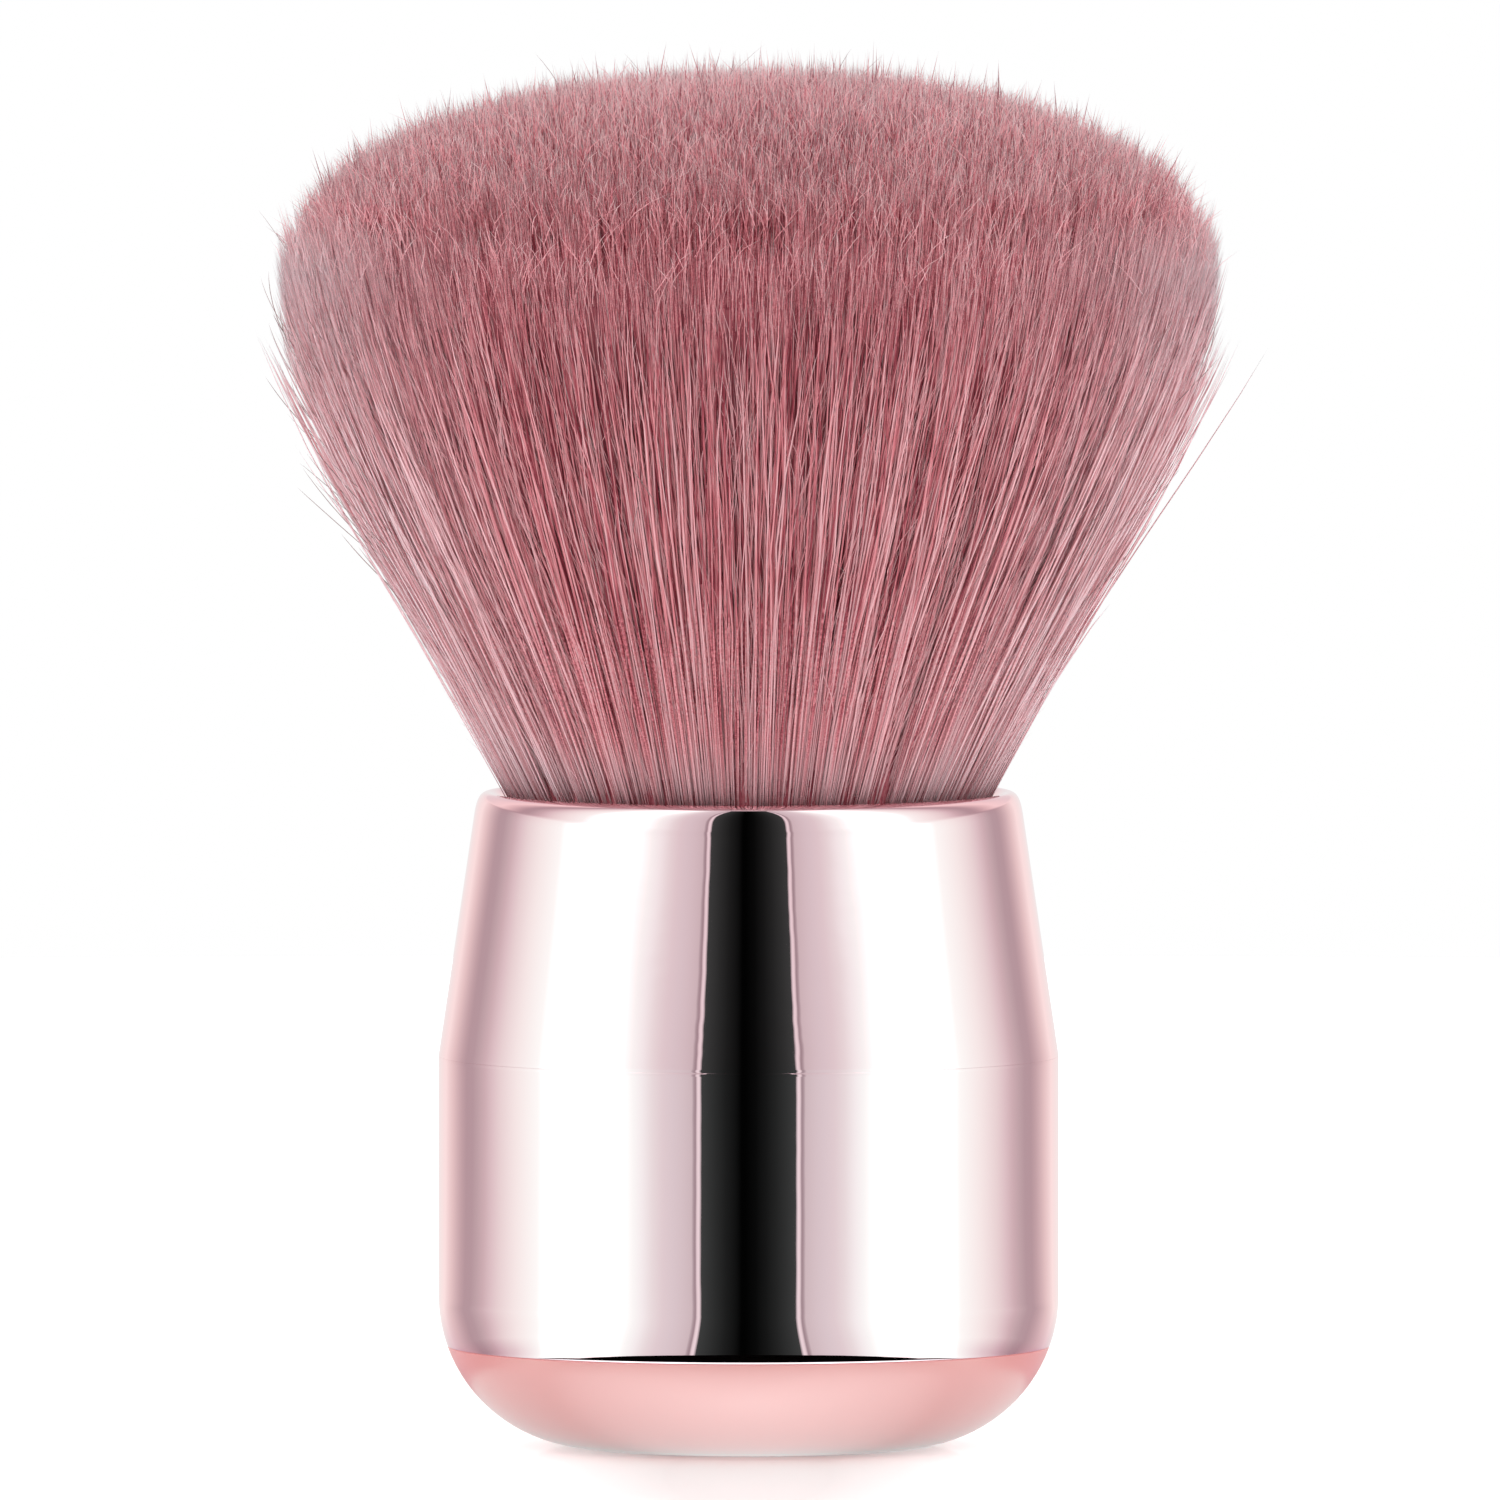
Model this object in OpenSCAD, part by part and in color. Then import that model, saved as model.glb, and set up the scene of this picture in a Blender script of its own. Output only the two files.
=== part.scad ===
// Short powder brush: a domed, flared bristle head in a plated, weighted handle.
// The brush stands on its foot, with the origin at the middle of the foot and +Z up.

/* [Handle] */
// Diameter of the straight part of the handle
body_d = 35.7; // [34:0.1:39]
// Diameter of the flat foot that the brush stands on
foot_d = 18.3; // [14:0.1:22]
// Height of the joint between the base cap and the body shell
seam_h = 5.8; // [5:0.1:7]
// Height of the joint between the body shell and the collar
joint_h = 22.5; // [21:0.1:30]
// Wall of the body shell along its straight part
body_wall = 1.85; // [1.4:0.05:2.1]
// Chamfer along each outer edge that meets at a joint
edge_chamfer = 0.12; // [0.05:0.01:0.25]

/* [Base cap] */
// Wall of the base cap
cap_wall = 1.6; // [1.2:0.1:2]
// Height of the cap's spigot above the joint
spigot_h = 4; // [3:0.1:5]
// Wall of the spigot
spigot_wall = 1.35; // [1:0.05:1.5]
// Height of the seat that the weight stands on
seat_h = 2.4; // [2:0.1:3]
// Height of the pocket's wall above the seat
pocket_h = 4.1; // [2.5:0.1:5]
// Wall of the pocket round the weight
pocket_wall = 1.1; // [0.8:0.1:1.3]
// Number of gussets between the pocket and the spigot
gussets = 6; // [3:1:12]
// Radius of the snap bead's round section
bead_r = 0.3; // [0.2:0.05:0.4]

/* [Weight] */
// Diameter of the steel weight
weight_d = 23.1; // [18:0.1:24]
// Height of the steel weight
weight_h = 7.6; // [5:0.1:8.5]
// Chamfer along the weight's edges
weight_chamfer = 0.6; // [0.2:0.1:1]
// Diameter of the foam pad on the weight
pad_d = 21; // [16:0.1:23]
// Thickness of the foam pad on the weight
pad_h = 1.5; // [1:0.1:2]

/* [Collar] */
// Outer diameter of the collar at its mouth
mouth_d = 31.4; // [30.6:0.1:33]
// Height of the collar, from the joint to the top of its lip
collar_h = 15.2; // [13:0.1:19]
// Width of the round lip
lip_w = 1.4; // [1.2:0.05:1.6]
// Wall of the collar below the lip
collar_wall = 1; // [0.7:0.05:1.15]

/* [Inner core] */
// Wall of the core's tube, skirt and socket
core_wall = 1.1; // [0.8:0.05:1.3]
// Thickness of the core's floor
core_floor = 1.6; // [1.2:0.1:2.2]
// Depth of the core's floor below the collar's joint
floor_drop = 0.9; // [0.5:0.1:2]
// Height of the skirt that fits inside the body shell
skirt_h = 8; // [5:0.1:9]
// Thickness of the flange that the collar slips over
flange_h = 1.5; // [1:0.1:2.5]
// Height of the socket's wall round the hair cup
socket_h = 6.4; // [4:0.1:8]
// Outer diameter of the tube that holds the weight down
tube_d = 14; // [10:0.1:18]
// Number of long ribs under the floor
long_ribs = 6; // [4:1:12]
// Number of small ribs that centre the collar
small_ribs = 12; // [6:1:18]
// Thickness of every rib and gusset
rib_t = 1.1; // [0.8:0.1:1.5]
// Height of the small ribs above the flange
small_rib_h = 3; // [1.5:0.1:4]

/* [Hair cup] */
// Wall of the cup that holds the bristles' roots
cup_wall = 0.6; // [0.4:0.05:0.8]
// Thickness of the cup's floor
cup_floor = 1; // [0.6:0.1:1.5]
// Depth of the cup's rim below the top of the lip
cup_inset = 1.3; // [1:0.1:2]
// Depth of the grooves that key the glue into the cup
key_depth = 0.25; // [0.1:0.05:0.3]
// Height of each of those grooves
key_h = 1; // [0.6:0.1:1.5]

/* [Bristle head] */
// Height of the head above the lip
head_h = 42.3; // [36:0.1:48]
// Widest diameter of the head
head_d = 54.8; // [48:0.1:60]
// Height of the crown above the head's widest level
crown_h = 12.2; // [9:0.1:16]
// Radius of the bend that turns the flaring side upright at the widest level
bend_r = 20; // [14:0.5:21]
// Height of the slice of glued roots that the bristles stand on
slice_h = 6.2; // [5:0.1:8]
// Clear space between the bristles' roots and the cup
root_gap = 0.15; // [0.1:0.05:0.3]
// Number of bristle tufts
strands = 370; // [300:10:450]
// Length of each tuft's tapered end, which bends upright
taper_l = 11; // [8:0.1:14]
// Greatest difference in length between tufts
uneven = 1.2; // [0.4:0.1:2]

/* [Knot thread] */
// Thickness of the thread tied round the roots
thread_d = 0.7; // [0.5:0.05:0.8]
// Number of turns of the thread
thread_turns = 3; // [2:1:4]

/* [Hidden] */
$fn = 120;

slip = 0.05;       // radial clearance of every slip fit
overrun = 1;       // how far a cut runs past the face it opens
golden_angle = 137.507764; // degrees from one tuft to the next on the sunflower spiral
width_share = 0.39; // a tuft's half width as a share of the room that it has
slim_share = 0.62; // width that is left part of the way along a tuft's tapered end
end_share = 0.45;  // length beyond that place as a share of the tapered end
bead_share = 0.67; // height of the snap bead as a share of the spigot's height
stand_share = 0.67; // how far the snap bead stands out, as a share of its radius
crown_power = 2.3; // 2 would make the crown an ellipse, more makes its shoulders squarer
turn_share = 0.86; // rise of a thread's turn as a share of its thickness

body_r = body_d / 2;
foot_r = foot_d / 2;
corner_r = body_r - foot_r;
bore_r = body_r - body_wall;
spigot_r = bore_r - slip;
spigot_in_r = spigot_r - spigot_wall;
spigot_top = seam_h + spigot_h;
bead_h = seam_h + spigot_h * bead_share;
bead_stand = bead_r * stand_share;

weight_r = weight_d / 2;
pocket_r = weight_r + 2 * slip;
weight_top = seat_h + weight_h;
pad_top = weight_top + pad_h;

mouth_r = mouth_d / 2;
lip_r = lip_w / 2;
lip_top = joint_h + collar_h;
lip_h = lip_top - lip_r;
lip_in_r = mouth_r - lip_w;
cone_lean = atan((body_r - mouth_r) / (lip_h - joint_h));

floor_top = joint_h - floor_drop;
floor_low = floor_top - core_floor;
cup_r = lip_in_r - 2 * slip;
socket_r = cup_r + slip;
socket_out_r = socket_r + core_wall;
cup_in_r = cup_r - cup_wall;
cup_top = lip_top - cup_inset;
root_r = cup_in_r - root_gap;
root_top = cup_top;
slice_low = root_top - slice_h;
glue_low = floor_top + cup_floor;

head_top = lip_top + head_h;
head_r = head_d / 2;
wide_h = head_top - crown_h;
tuft_room = sqrt(PI / strands); // spacing of the tufts for a bundle of radius 1
bundle_r = root_r / (1 + width_share * tuft_room);
bend_x = head_r - bend_r;
flare_run = [bend_x - bundle_r, wide_h - root_top];
flare_angle = atan2(flare_run.x, flare_run.y) + asin(bend_r / norm(flare_run));
bend_low = wide_h - bend_r * sin(flare_angle);
thread_rise = thread_d * turn_share;
groove_h = thread_rise * (thread_turns + 1);
groove_low = slice_low + (slice_h - groove_h) / 2;
groove_r = root_r - thread_d;

// Radius of the collar's outer cone at a height.
function cone_r(z) = body_r - (z - joint_h) * tan(cone_lean);

// Radius of the circle that the outermost tufts stand on at a height: a straight flare, then a
// bend that is tangent to it and ends upright at the widest level.
function flare_r(z) = z < bend_low
    ? bundle_r + (z - root_top) * tan(flare_angle)
    : bend_x + sqrt(pow(bend_r, 2) - pow(max(0, wide_h - z), 2));

// Height of the trimmed crown over a tuft that stands at this share of the bundle's radius.
function crown_level(share) = wide_h + crown_h * pow(1 - pow(share, crown_power), 1 / crown_power);

// Half section of the handle below the collar: a flat foot, a round corner and a straight wall.
module handle_section(inset = 0) {
    intersection() {
        union() {
            translate([0, inset]) square([foot_r, joint_h]);
            translate([foot_r, corner_r]) circle(corner_r - inset);
            translate([0, corner_r]) square([body_r - inset, joint_h]);
        }
        square([body_r, joint_h]);
    }
}

// Half section of a ring, from its inner to its outer radius and between two heights.
module ring_section(inner, outer, low, high) {
    translate([inner, low]) square([outer - inner, high - low]);
}

// Triangle that takes the chamfer off an edge at a radius and a height. side is 1 where the
// material lies below the edge and -1 where it lies above.
module chamfer_section(r, z, size, side) {
    polygon([[r + size, z + side * size], [r + size, z - side * 2 * size],
        [r - 2 * size, z + side * size]]);
}

// Snap bead's round section, a little out from a wall at the joint's bead height.
module bead_section(grow = 0) {
    translate([spigot_r - bead_r + bead_stand, bead_h]) circle(bead_r + grow);
}

// Radius of the handle's round corner at a height, or of its wall above the corner.
function handle_r(z) = z >= corner_r ? body_r
    : foot_r + sqrt(pow(corner_r, 2) - pow(corner_r - z, 2));

// Flat plate that stands upright along the X axis, drawn as its outline in X and Z.
module upright_plate(thick) {
    rotate([90, 0, 0]) linear_extrude(thick, center = true) children();
}

// Bottom of the handle: a shell that follows the round corner, with a seat and a pocket for
// the weight and a spigot with a snap bead.
module base_cap() {
    color("#eeb5b5") {
        rotate_extrude() difference() {
            union() {
                intersection() {
                    handle_section();
                    union() {
                        square([body_r, seam_h]);
                        square([spigot_r, spigot_top]);
                    }
                }
                bead_section();
            }
            difference() {
                intersection() {
                    handle_section(cap_wall);
                    square([spigot_in_r, spigot_top + overrun]);
                }
                square([pocket_r, seat_h]);
                ring_section(pocket_r, pocket_r + pocket_wall, 0, seat_h + pocket_h);
            }
            chamfer_section(handle_r(seam_h), seam_h, edge_chamfer, 1);
            chamfer_section(spigot_r, spigot_top, bead_stand, 1);
        }
        for (i = [0 : gussets - 1]) rotate(i * 360 / gussets)
            upright_plate(rib_t) intersection() {
                handle_section(cap_wall / 2);
                ring_section(pocket_r + pocket_wall / 2, spigot_in_r + spigot_wall / 2,
                    0, seat_h + pocket_h / 2);
            }
    }
}

// Turned steel slug that makes the brush stand.
module weight() {
    color("#8b8f94") rotate_extrude() polygon([[0, seat_h], [weight_r - weight_chamfer, seat_h],
        [weight_r, seat_h + weight_chamfer], [weight_r, weight_top - weight_chamfer],
        [weight_r - weight_chamfer, weight_top], [0, weight_top]]);
}

// Foam disc between the weight and the core, which keeps the weight from rattling.
module weight_pad() {
    color("#3a3a3c") translate([0, 0, weight_top]) cylinder(d = pad_d, h = pad_h);
}

// Plated lower shell: the round corner above the cap, a straight wall and a bore with a groove
// for the cap's snap bead.
module body_shell() {
    color("#e9c3c8") rotate_extrude() difference() {
        intersection() {
            handle_section();
            ring_section(0, body_r, seam_h, joint_h);
        }
        ring_section(0, bore_r, 0, joint_h + overrun);
        bead_section(slip);
        chamfer_section(handle_r(seam_h), seam_h, edge_chamfer, -1);
        chamfer_section(body_r, joint_h, edge_chamfer, 1);
    }
}

// Moulded core: a skirt in the body shell, a flange and small ribs that carry the collar, a
// socket for the hair cup and a ribbed tube that presses on the weight's pad.
module inner_core() {
    flange_r = body_r - collar_wall / cos(cone_lean) - slip;
    flange_top = joint_h + flange_h;
    rib_top = flange_top + small_rib_h;
    skirt_r = bore_r - slip;
    skirt_low = joint_h - skirt_h;
    color("#d9d4d2") {
        rotate_extrude() {
            ring_section(skirt_r - core_wall, skirt_r, skirt_low, joint_h);
            ring_section(0, skirt_r, floor_low, floor_top);
            ring_section(socket_r, skirt_r, floor_low, joint_h);
            polygon([[socket_r, joint_h], [flange_r, joint_h],
                [flange_r - flange_h * tan(cone_lean), flange_top], [socket_r, flange_top]]);
            ring_section(socket_r, socket_out_r, joint_h, floor_top + socket_h);
            ring_section(tube_d / 2 - core_wall, tube_d / 2, pad_top, floor_top);
        }
        for (i = [0 : long_ribs - 1]) rotate(i * 360 / long_ribs)
            upright_plate(rib_t) polygon([[tube_d / 2 - core_wall / 2, floor_low + core_floor / 2],
                [tube_d / 2 - core_wall / 2, pad_top + rib_t],
                [tube_d / 2 + rib_t, pad_top + rib_t],
                [skirt_r - core_wall / 2, skirt_low + rib_t],
                [skirt_r - core_wall / 2, floor_low + core_floor / 2]]);
        for (i = [0 : small_ribs - 1]) rotate(i * 360 / small_ribs)
            upright_plate(rib_t) polygon([[socket_out_r - core_wall / 2, flange_top - flange_h / 2],
                [flange_r - flange_h * tan(cone_lean) - slip, flange_top - flange_h / 2],
                [flange_r - (rib_top - joint_h) * tan(cone_lean) - slip, rib_top],
                [socket_out_r - core_wall / 2, rib_top]]);
    }
}

// Plated conical collar with a full round lip at its mouth.
module collar() {
    wall_x = collar_wall / cos(cone_lean);
    lip_x = mouth_r - lip_r;
    color("#e9c3c8") rotate_extrude() difference() {
        union() {
            polygon([[cone_r(joint_h), joint_h], [cone_r(lip_h), lip_h],
                [lip_in_r, lip_h], [lip_in_r, lip_h - lip_w],
                [cone_r(lip_h - 2 * lip_w) - wall_x, lip_h - 2 * lip_w],
                [cone_r(joint_h) - wall_x, joint_h]]);
            intersection() {
                translate([lip_x, lip_h]) circle(lip_r);
                ring_section(lip_in_r, mouth_r, lip_h, lip_top);
            }
        }
        chamfer_section(body_r, joint_h, edge_chamfer, -1);
    }
}

// Drawn metal cup that the bristles' roots are glued into, with two grooves that key the glue.
module hair_cup() {
    color("#c9ccd0") rotate_extrude() difference() {
        ring_section(0, cup_r, floor_top, cup_top);
        ring_section(0, cup_in_r, glue_low, cup_top + overrun);
        for (i = [0, 1]) key_section(i, 0);
        chamfer_section(cup_r, floor_top, cup_wall / 2, -1);
    }
}

// Section of one of the two glue keys.
module key_section(i, inset) {
    step = (slice_low - glue_low) / 3;
    translate([0, glue_low + (i + 1) * step - key_h / 2 + inset])
        square([cup_in_r + key_depth - inset, key_h - 2 * inset]);
}

// Cured glue between the cup's floor and the knot of roots.
module glue_plug() {
    color("#d8c9a0") rotate_extrude() {
        ring_section(0, cup_in_r - slip / 2, glue_low, slice_low);
        for (i = [0, 1]) key_section(i, slip / 2);
    }
}

// Turns of thread that tie the roots together.
module knot_thread() {
    color("#f1eae2") rotate_extrude() {
        for (i = [1 : thread_turns]) translate([root_r - thread_d / 2, groove_low + i * thread_rise])
            circle(thread_d / 2);
    }
}

// Tapering tufts on a sunflower spiral. Each rises from the slice of roots along the flare,
// grows with the room that it has, bends upright and comes to a point on the trimmed crown.
// One edge of every tuft faces out, so that the outside of the bundle shows each of them.
module tufts() {
    sides = 3;
    rings = 3;
    count = rings * sides + 1;
    width_shares = [1, 1, slim_share];
    short = rands(0, uneven, strands, 7);
    shares = [for (i = [0 : strands - 1]) sqrt((i + 0.5) / strands)];
    tips = [for (i = [0 : strands - 1]) crown_level(shares[i]) - short[i] * shares[i]];
    points = [for (i = [0 : strands - 1])
        let (turn = i * golden_angle,
            levels = [root_top - thread_d / 2, tips[i] - taper_l, tips[i] - taper_l * end_share],
            reach = shares[i] * flare_r(tips[i]))
        each concat(
            [for (j = [0 : rings - 1])
                let (bundle = flare_r(levels[j]),
                    half_w = bundle * tuft_room * width_share * width_shares[j])
                for (k = [0 : sides - 1])
                    let (corner = turn + k * 360 / sides)
                    [shares[i] * bundle * cos(turn) + half_w * cos(corner),
                        shares[i] * bundle * sin(turn) + half_w * sin(corner), levels[j]]],
            [[reach * cos(turn), reach * sin(turn), tips[i]]])];
    faces = [for (i = [0 : strands - 1])
        let (a = i * count, top = a + (rings - 1) * sides)
        each concat(
            [[for (k = [0 : sides - 1]) a + k]],
            [for (j = [0 : rings - 2], k = [0 : sides - 1])
                let (b = a + j * sides, n = (k + 1) % sides)
                each [[b + k, b + sides + n, b + n], [b + k, b + sides + k, b + sides + n]]],
            [for (k = [0 : sides - 1]) [top + k, a + rings * sides, top + (k + 1) % sides]])];
    polyhedron(points, faces);
}

// Bristle head: the tufts and the glued slice of their roots, with a groove for the thread.
module bristles() {
    color("#ad6c73") union() {
        rotate_extrude() difference() {
            ring_section(0, root_r, slice_low, root_top);
            ring_section(groove_r - slip, root_r + overrun, groove_low, groove_low + groove_h);
        }
        tufts();
    }
}

base_cap();
weight();
weight_pad();
body_shell();
inner_core();
collar();
hair_cup();
glue_plug();
knot_thread();
bristles();
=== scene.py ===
# %% [markdown]
# # A short powder brush in a studio
# The brush stands on its plated handle and spreads a dome of soft pink bristles. The handle is a
# mirror, so most of its look comes from what stands round it; the head is tens of thousands of thin
# fibres, so its look comes from how they lie. The construction model gives every size, and this
# script dresses it. We start by loading that model, which stays as it is.

# %% Load the construction model
import bpy
import math
import numpy as np
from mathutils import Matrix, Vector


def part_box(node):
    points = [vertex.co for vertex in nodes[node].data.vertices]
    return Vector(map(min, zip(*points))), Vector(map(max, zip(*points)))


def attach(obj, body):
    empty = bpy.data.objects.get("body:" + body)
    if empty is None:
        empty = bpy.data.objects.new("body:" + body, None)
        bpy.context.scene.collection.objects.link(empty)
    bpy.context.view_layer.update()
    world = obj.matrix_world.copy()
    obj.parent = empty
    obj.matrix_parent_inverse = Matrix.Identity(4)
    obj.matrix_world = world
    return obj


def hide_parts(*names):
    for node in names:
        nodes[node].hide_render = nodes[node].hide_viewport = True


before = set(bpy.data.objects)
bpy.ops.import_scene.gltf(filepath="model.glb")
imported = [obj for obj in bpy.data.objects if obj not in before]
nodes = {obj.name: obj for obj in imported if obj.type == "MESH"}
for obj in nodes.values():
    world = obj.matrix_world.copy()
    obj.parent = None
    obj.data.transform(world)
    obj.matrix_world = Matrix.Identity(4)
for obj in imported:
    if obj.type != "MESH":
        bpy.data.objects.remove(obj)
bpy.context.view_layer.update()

MM = 0.001
for name in sorted(nodes):
    low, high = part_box(name)
    print(name, "from", [round(v / MM, 1) for v in low], "to", [round(v / MM, 1) for v in high])

# %% [markdown]
# ## Camera
# The photograph was taken from almost straight ahead, about three degrees above level, with a long
# lens that hardly widens what is near. A short lens close by would be easier to place, but it would
# bow the level joints of the handle. So the camera stands three metres away, and the lens is made
# long enough for a square frame that is a little over 86 mm wide where the brush stands.

# %% Camera
FRAME_WIDTH = 86.3 * MM
CAMERA_AWAY = 3.0
CAMERA_RISE = math.radians(3)
SENSOR_WIDTH = 36
aim = (0.08 * MM, 0, 40.1 * MM)

bpy.ops.object.camera_add(
    location=(aim[0], -CAMERA_AWAY * math.cos(CAMERA_RISE), aim[2] + CAMERA_AWAY * math.sin(CAMERA_RISE)),
    rotation=(math.radians(90) - CAMERA_RISE, 0, 0))
camera = bpy.context.object
camera.name = "camera"
camera.data.sensor_width = SENSOR_WIDTH
camera.data.lens = SENSOR_WIDTH * CAMERA_AWAY / FRAME_WIDTH
bpy.context.scene.camera = camera
print("lens", round(camera.data.lens), "mm")

# %% [markdown]
# ## Small helpers
# An operator acts on whatever is selected, so each piece starts by clearing the selection. The
# others make a material and hand back its shader, add a node with its values in one line, and put a
# finish on a piece. They could be written out each time, but then the cells below would hide what is
# special about each finish.

# %% Helpers for selection and materials
def clear_selection():
    if bpy.context.mode != "OBJECT":
        bpy.ops.object.mode_set(mode="OBJECT")
    bpy.ops.object.select_all(action="DESELECT")


def new_material(name, **values):
    material = bpy.data.materials.new(name)
    material.use_nodes = True
    shader = material.node_tree.nodes["Principled BSDF"]
    for socket, value in values.items():
        shader.inputs[socket.replace("_", " ")].default_value = value
    return material, material.node_tree, shader


def add_node(tree, kind, **settings):
    node = tree.nodes.new(kind)
    for key, value in settings.items():
        if key in node.inputs:
            node.inputs[key].default_value = value
        else:
            setattr(node, key, value)
    return node


def grey(value):
    return (value, value, value)


def dress(obj, material):
    obj.data.materials.clear()
    obj.data.materials.append(material)

# %% [markdown]
# ## Numbers on their way
# Three kinds of node turn up again and again, and each gets a helper that hands back its output: a
# sum of two numbers, a number stretched from one span to another, and a number turned into a colour
# by a ramp.

# %% Helpers for numbers in a material
def add_maths(tree, operation, first, second=None):
    node = add_node(tree, "ShaderNodeMath", operation=operation)
    for socket, value in zip(node.inputs, (first, second)):
        if isinstance(value, (int, float)):
            socket.default_value = value
        elif value is not None:
            tree.links.new(value, socket)
    return node.outputs[0]


def add_span(tree, source, low, high, to_low, to_high):
    node = add_node(tree, "ShaderNodeMapRange")
    for key, value in zip(("From Min", "From Max", "To Min", "To Max"), (low, high, to_low, to_high)):
        node.inputs[key].default_value = value
    tree.links.new(source, node.inputs["Value"])
    return node.outputs["Result"]


def add_ramp(tree, source, stops):
    node = add_node(tree, "ShaderNodeValToRGB")
    ramp = node.color_ramp
    while len(ramp.elements) > 1:
        ramp.elements.remove(ramp.elements[-1])
    ramp.elements[0].position, ramp.elements[0].color = stops[0][0], (*stops[0][1], 1)
    for place, colour in stops[1:]:
        ramp.elements.new(place).color = (*colour, 1)
    tree.links.new(source, node.inputs["Fac"])
    return node.outputs["Color"]

# %% [markdown]
# ## Patterns
# No real surface has one flat colour. A pattern here is a procedural texture that is read in Object
# coordinates, which are metres on the piece itself, so it stays where it is when the camera moves.
# The second helper lets one pattern drive the colour, the roughness or a fine relief. A painted
# picture could do this too, but a formula has no pixels and needs no file.

# %% Helpers for patterns
def pattern(tree, kind, scale, stretch=(1, 1, 1), **settings):
    place = add_node(tree, "ShaderNodeTexCoord")
    fit = add_node(tree, "ShaderNodeMapping")
    fit.inputs["Scale"].default_value = stretch
    texture = add_node(tree, kind, Scale=scale, **settings)
    tree.links.new(place.outputs["Object"], fit.inputs["Vector"])
    tree.links.new(fit.outputs["Vector"], texture.inputs["Vector"])
    return texture.outputs["Distance" if kind.endswith("Voronoi") else 0]


def vary(tree, shader, source, colours=None, roughness=None, bump=None, depth=0.0001):
    if colours:
        tree.links.new(add_ramp(tree, source, colours), shader.inputs["Base Color"])
    if roughness:
        tree.links.new(add_span(tree, source, 0, 1, *roughness), shader.inputs["Roughness"])
    if bump:
        relief = add_node(tree, "ShaderNodeBump", Strength=bump, Distance=depth)
        tree.links.new(source, relief.inputs["Height"])
        tree.links.new(relief.outputs["Normal"], shader.inputs["Normal"])

# %% [markdown]
# ## The rose plating
# The collar and the lower shell are polished and plated with a thin layer of rose-coloured metal.
# A fully metallic surface takes its colour from the metal's own tint and its light and dark bands
# from the room. Real plating is never perfect: it has a slight orange-peel swell and a little haze,
# so a weak bump and a small change of roughness follow the surface.

# %% Rose plating
ROSE = (0.93, 0.63, 0.67, 1)

plating, tree, shader = new_material("rose_plating", Base_Color=ROSE, Metallic=1.0)
swell = pattern(tree, "ShaderNodeTexNoise", 260, Detail=2.0)
haze = pattern(tree, "ShaderNodeTexNoise", 900, Detail=3.0)
vary(tree, shader, swell, bump=0.012, depth=0.0004)
vary(tree, shader, haze, roughness=(0.008, 0.03))

# %% [markdown]
# ## The plated pieces
# Both plated pieces are turned: their section is the same all the way round. The construction model
# breaks their edges by 0.12 mm, which a mirror finish shows as a dark line, while on the real handle
# the joint is a hairline. So they are turned again here with finer edges and a lip whose shoulder
# starts lower and rounds over softly. A ring of points is extruded along the section and closed on
# itself.

# %% Turn a ring along its section
SMOOTH_UP_TO = math.radians(32)


def turn_ring(name, section, material, slot, sides=256):
    clear_selection()
    r, z = section[0]
    bpy.ops.mesh.primitive_circle_add(
        vertices=sides, radius=r * MM, fill_type="NOTHING", location=(0, 0, z * MM))
    piece = bpy.context.object
    piece.name = name
    bpy.ops.object.transform_apply(location=True, rotation=True, scale=True)
    bpy.ops.object.mode_set(mode="EDIT")
    bpy.ops.mesh.select_mode(type="VERT")
    bpy.ops.mesh.select_all(action="SELECT")
    for r_next, z_next in list(section[1:]) + [section[0]]:
        bpy.ops.mesh.extrude_region_move(TRANSFORM_OT_translate={"value": (0, 0, (z_next - z) * MM)})
        bpy.ops.transform.resize(value=(r_next / r, r_next / r, 1), center_override=(0, 0, z_next * MM))
        r, z = r_next, z_next
    bpy.ops.mesh.select_all(action="SELECT")
    bpy.ops.mesh.remove_doubles(threshold=1e-6)
    bpy.ops.mesh.normals_make_consistent(inside=False)
    bpy.ops.object.mode_set(mode="OBJECT")
    bpy.ops.object.shade_smooth_by_angle(angle=SMOOTH_UP_TO)
    dress(piece, material)
    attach(piece, "root")
    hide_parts(slot)
    top = max(v.co.z for v in piece.data.vertices) / MM
    print(name, len(piece.data.polygons), "faces, up to", round(top, 2), "mm")


def arc(centre, radius, start, end, steps):
    angles = [math.radians(start + (end - start) * i / steps) for i in range(steps + 1)]
    return [(centre[0] + radius * math.cos(a), centre[1] + radius * math.sin(a)) for a in angles]

# %% [markdown]
# ## The shell's section
# The shell is straight and ends in a round corner over the cap. Inside it is bored out for the core,
# with a shallow groove that the cap's bead snaps into. Each pair of numbers is a radius and a height
# in millimetres, and the section runs up the outside and down the bore.

# %% Body shell
EDGE = 0.008
SHELL_R, BORE_R = 17.85, 16.0
SHELL_FOOT, JOINT_H = 5.8, 22.5
CORNER_R, CORNER_H, CORNER_START = 8.7, 8.7, -19.47

corner = arc((SHELL_R - CORNER_R, CORNER_H), CORNER_R, CORNER_START, 0, 18)
corner_r, corner_h = corner[0]
groove = arc((15.851, 8.48), 0.35, 60, -60, 6)[1:-1]
shell_section = [
    (corner_r - EDGE * 1.4, SHELL_FOOT), (corner_r - EDGE * 0.4, SHELL_FOOT + EDGE * 0.4),
    (corner_r, corner_h + EDGE), *corner[1:],
    (SHELL_R, 15), (SHELL_R, 22.3), (SHELL_R, JOINT_H - EDGE),
    (SHELL_R - EDGE * 0.3, JOINT_H - EDGE * 0.3), (SHELL_R - EDGE, JOINT_H),
    (BORE_R, JOINT_H), (BORE_R, 15.6), (BORE_R, 8.797), *groove, (BORE_R, 8.163), (BORE_R, SHELL_FOOT)]
turn_ring("body_shell_plated", shell_section, plating, "body_shell")

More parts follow.
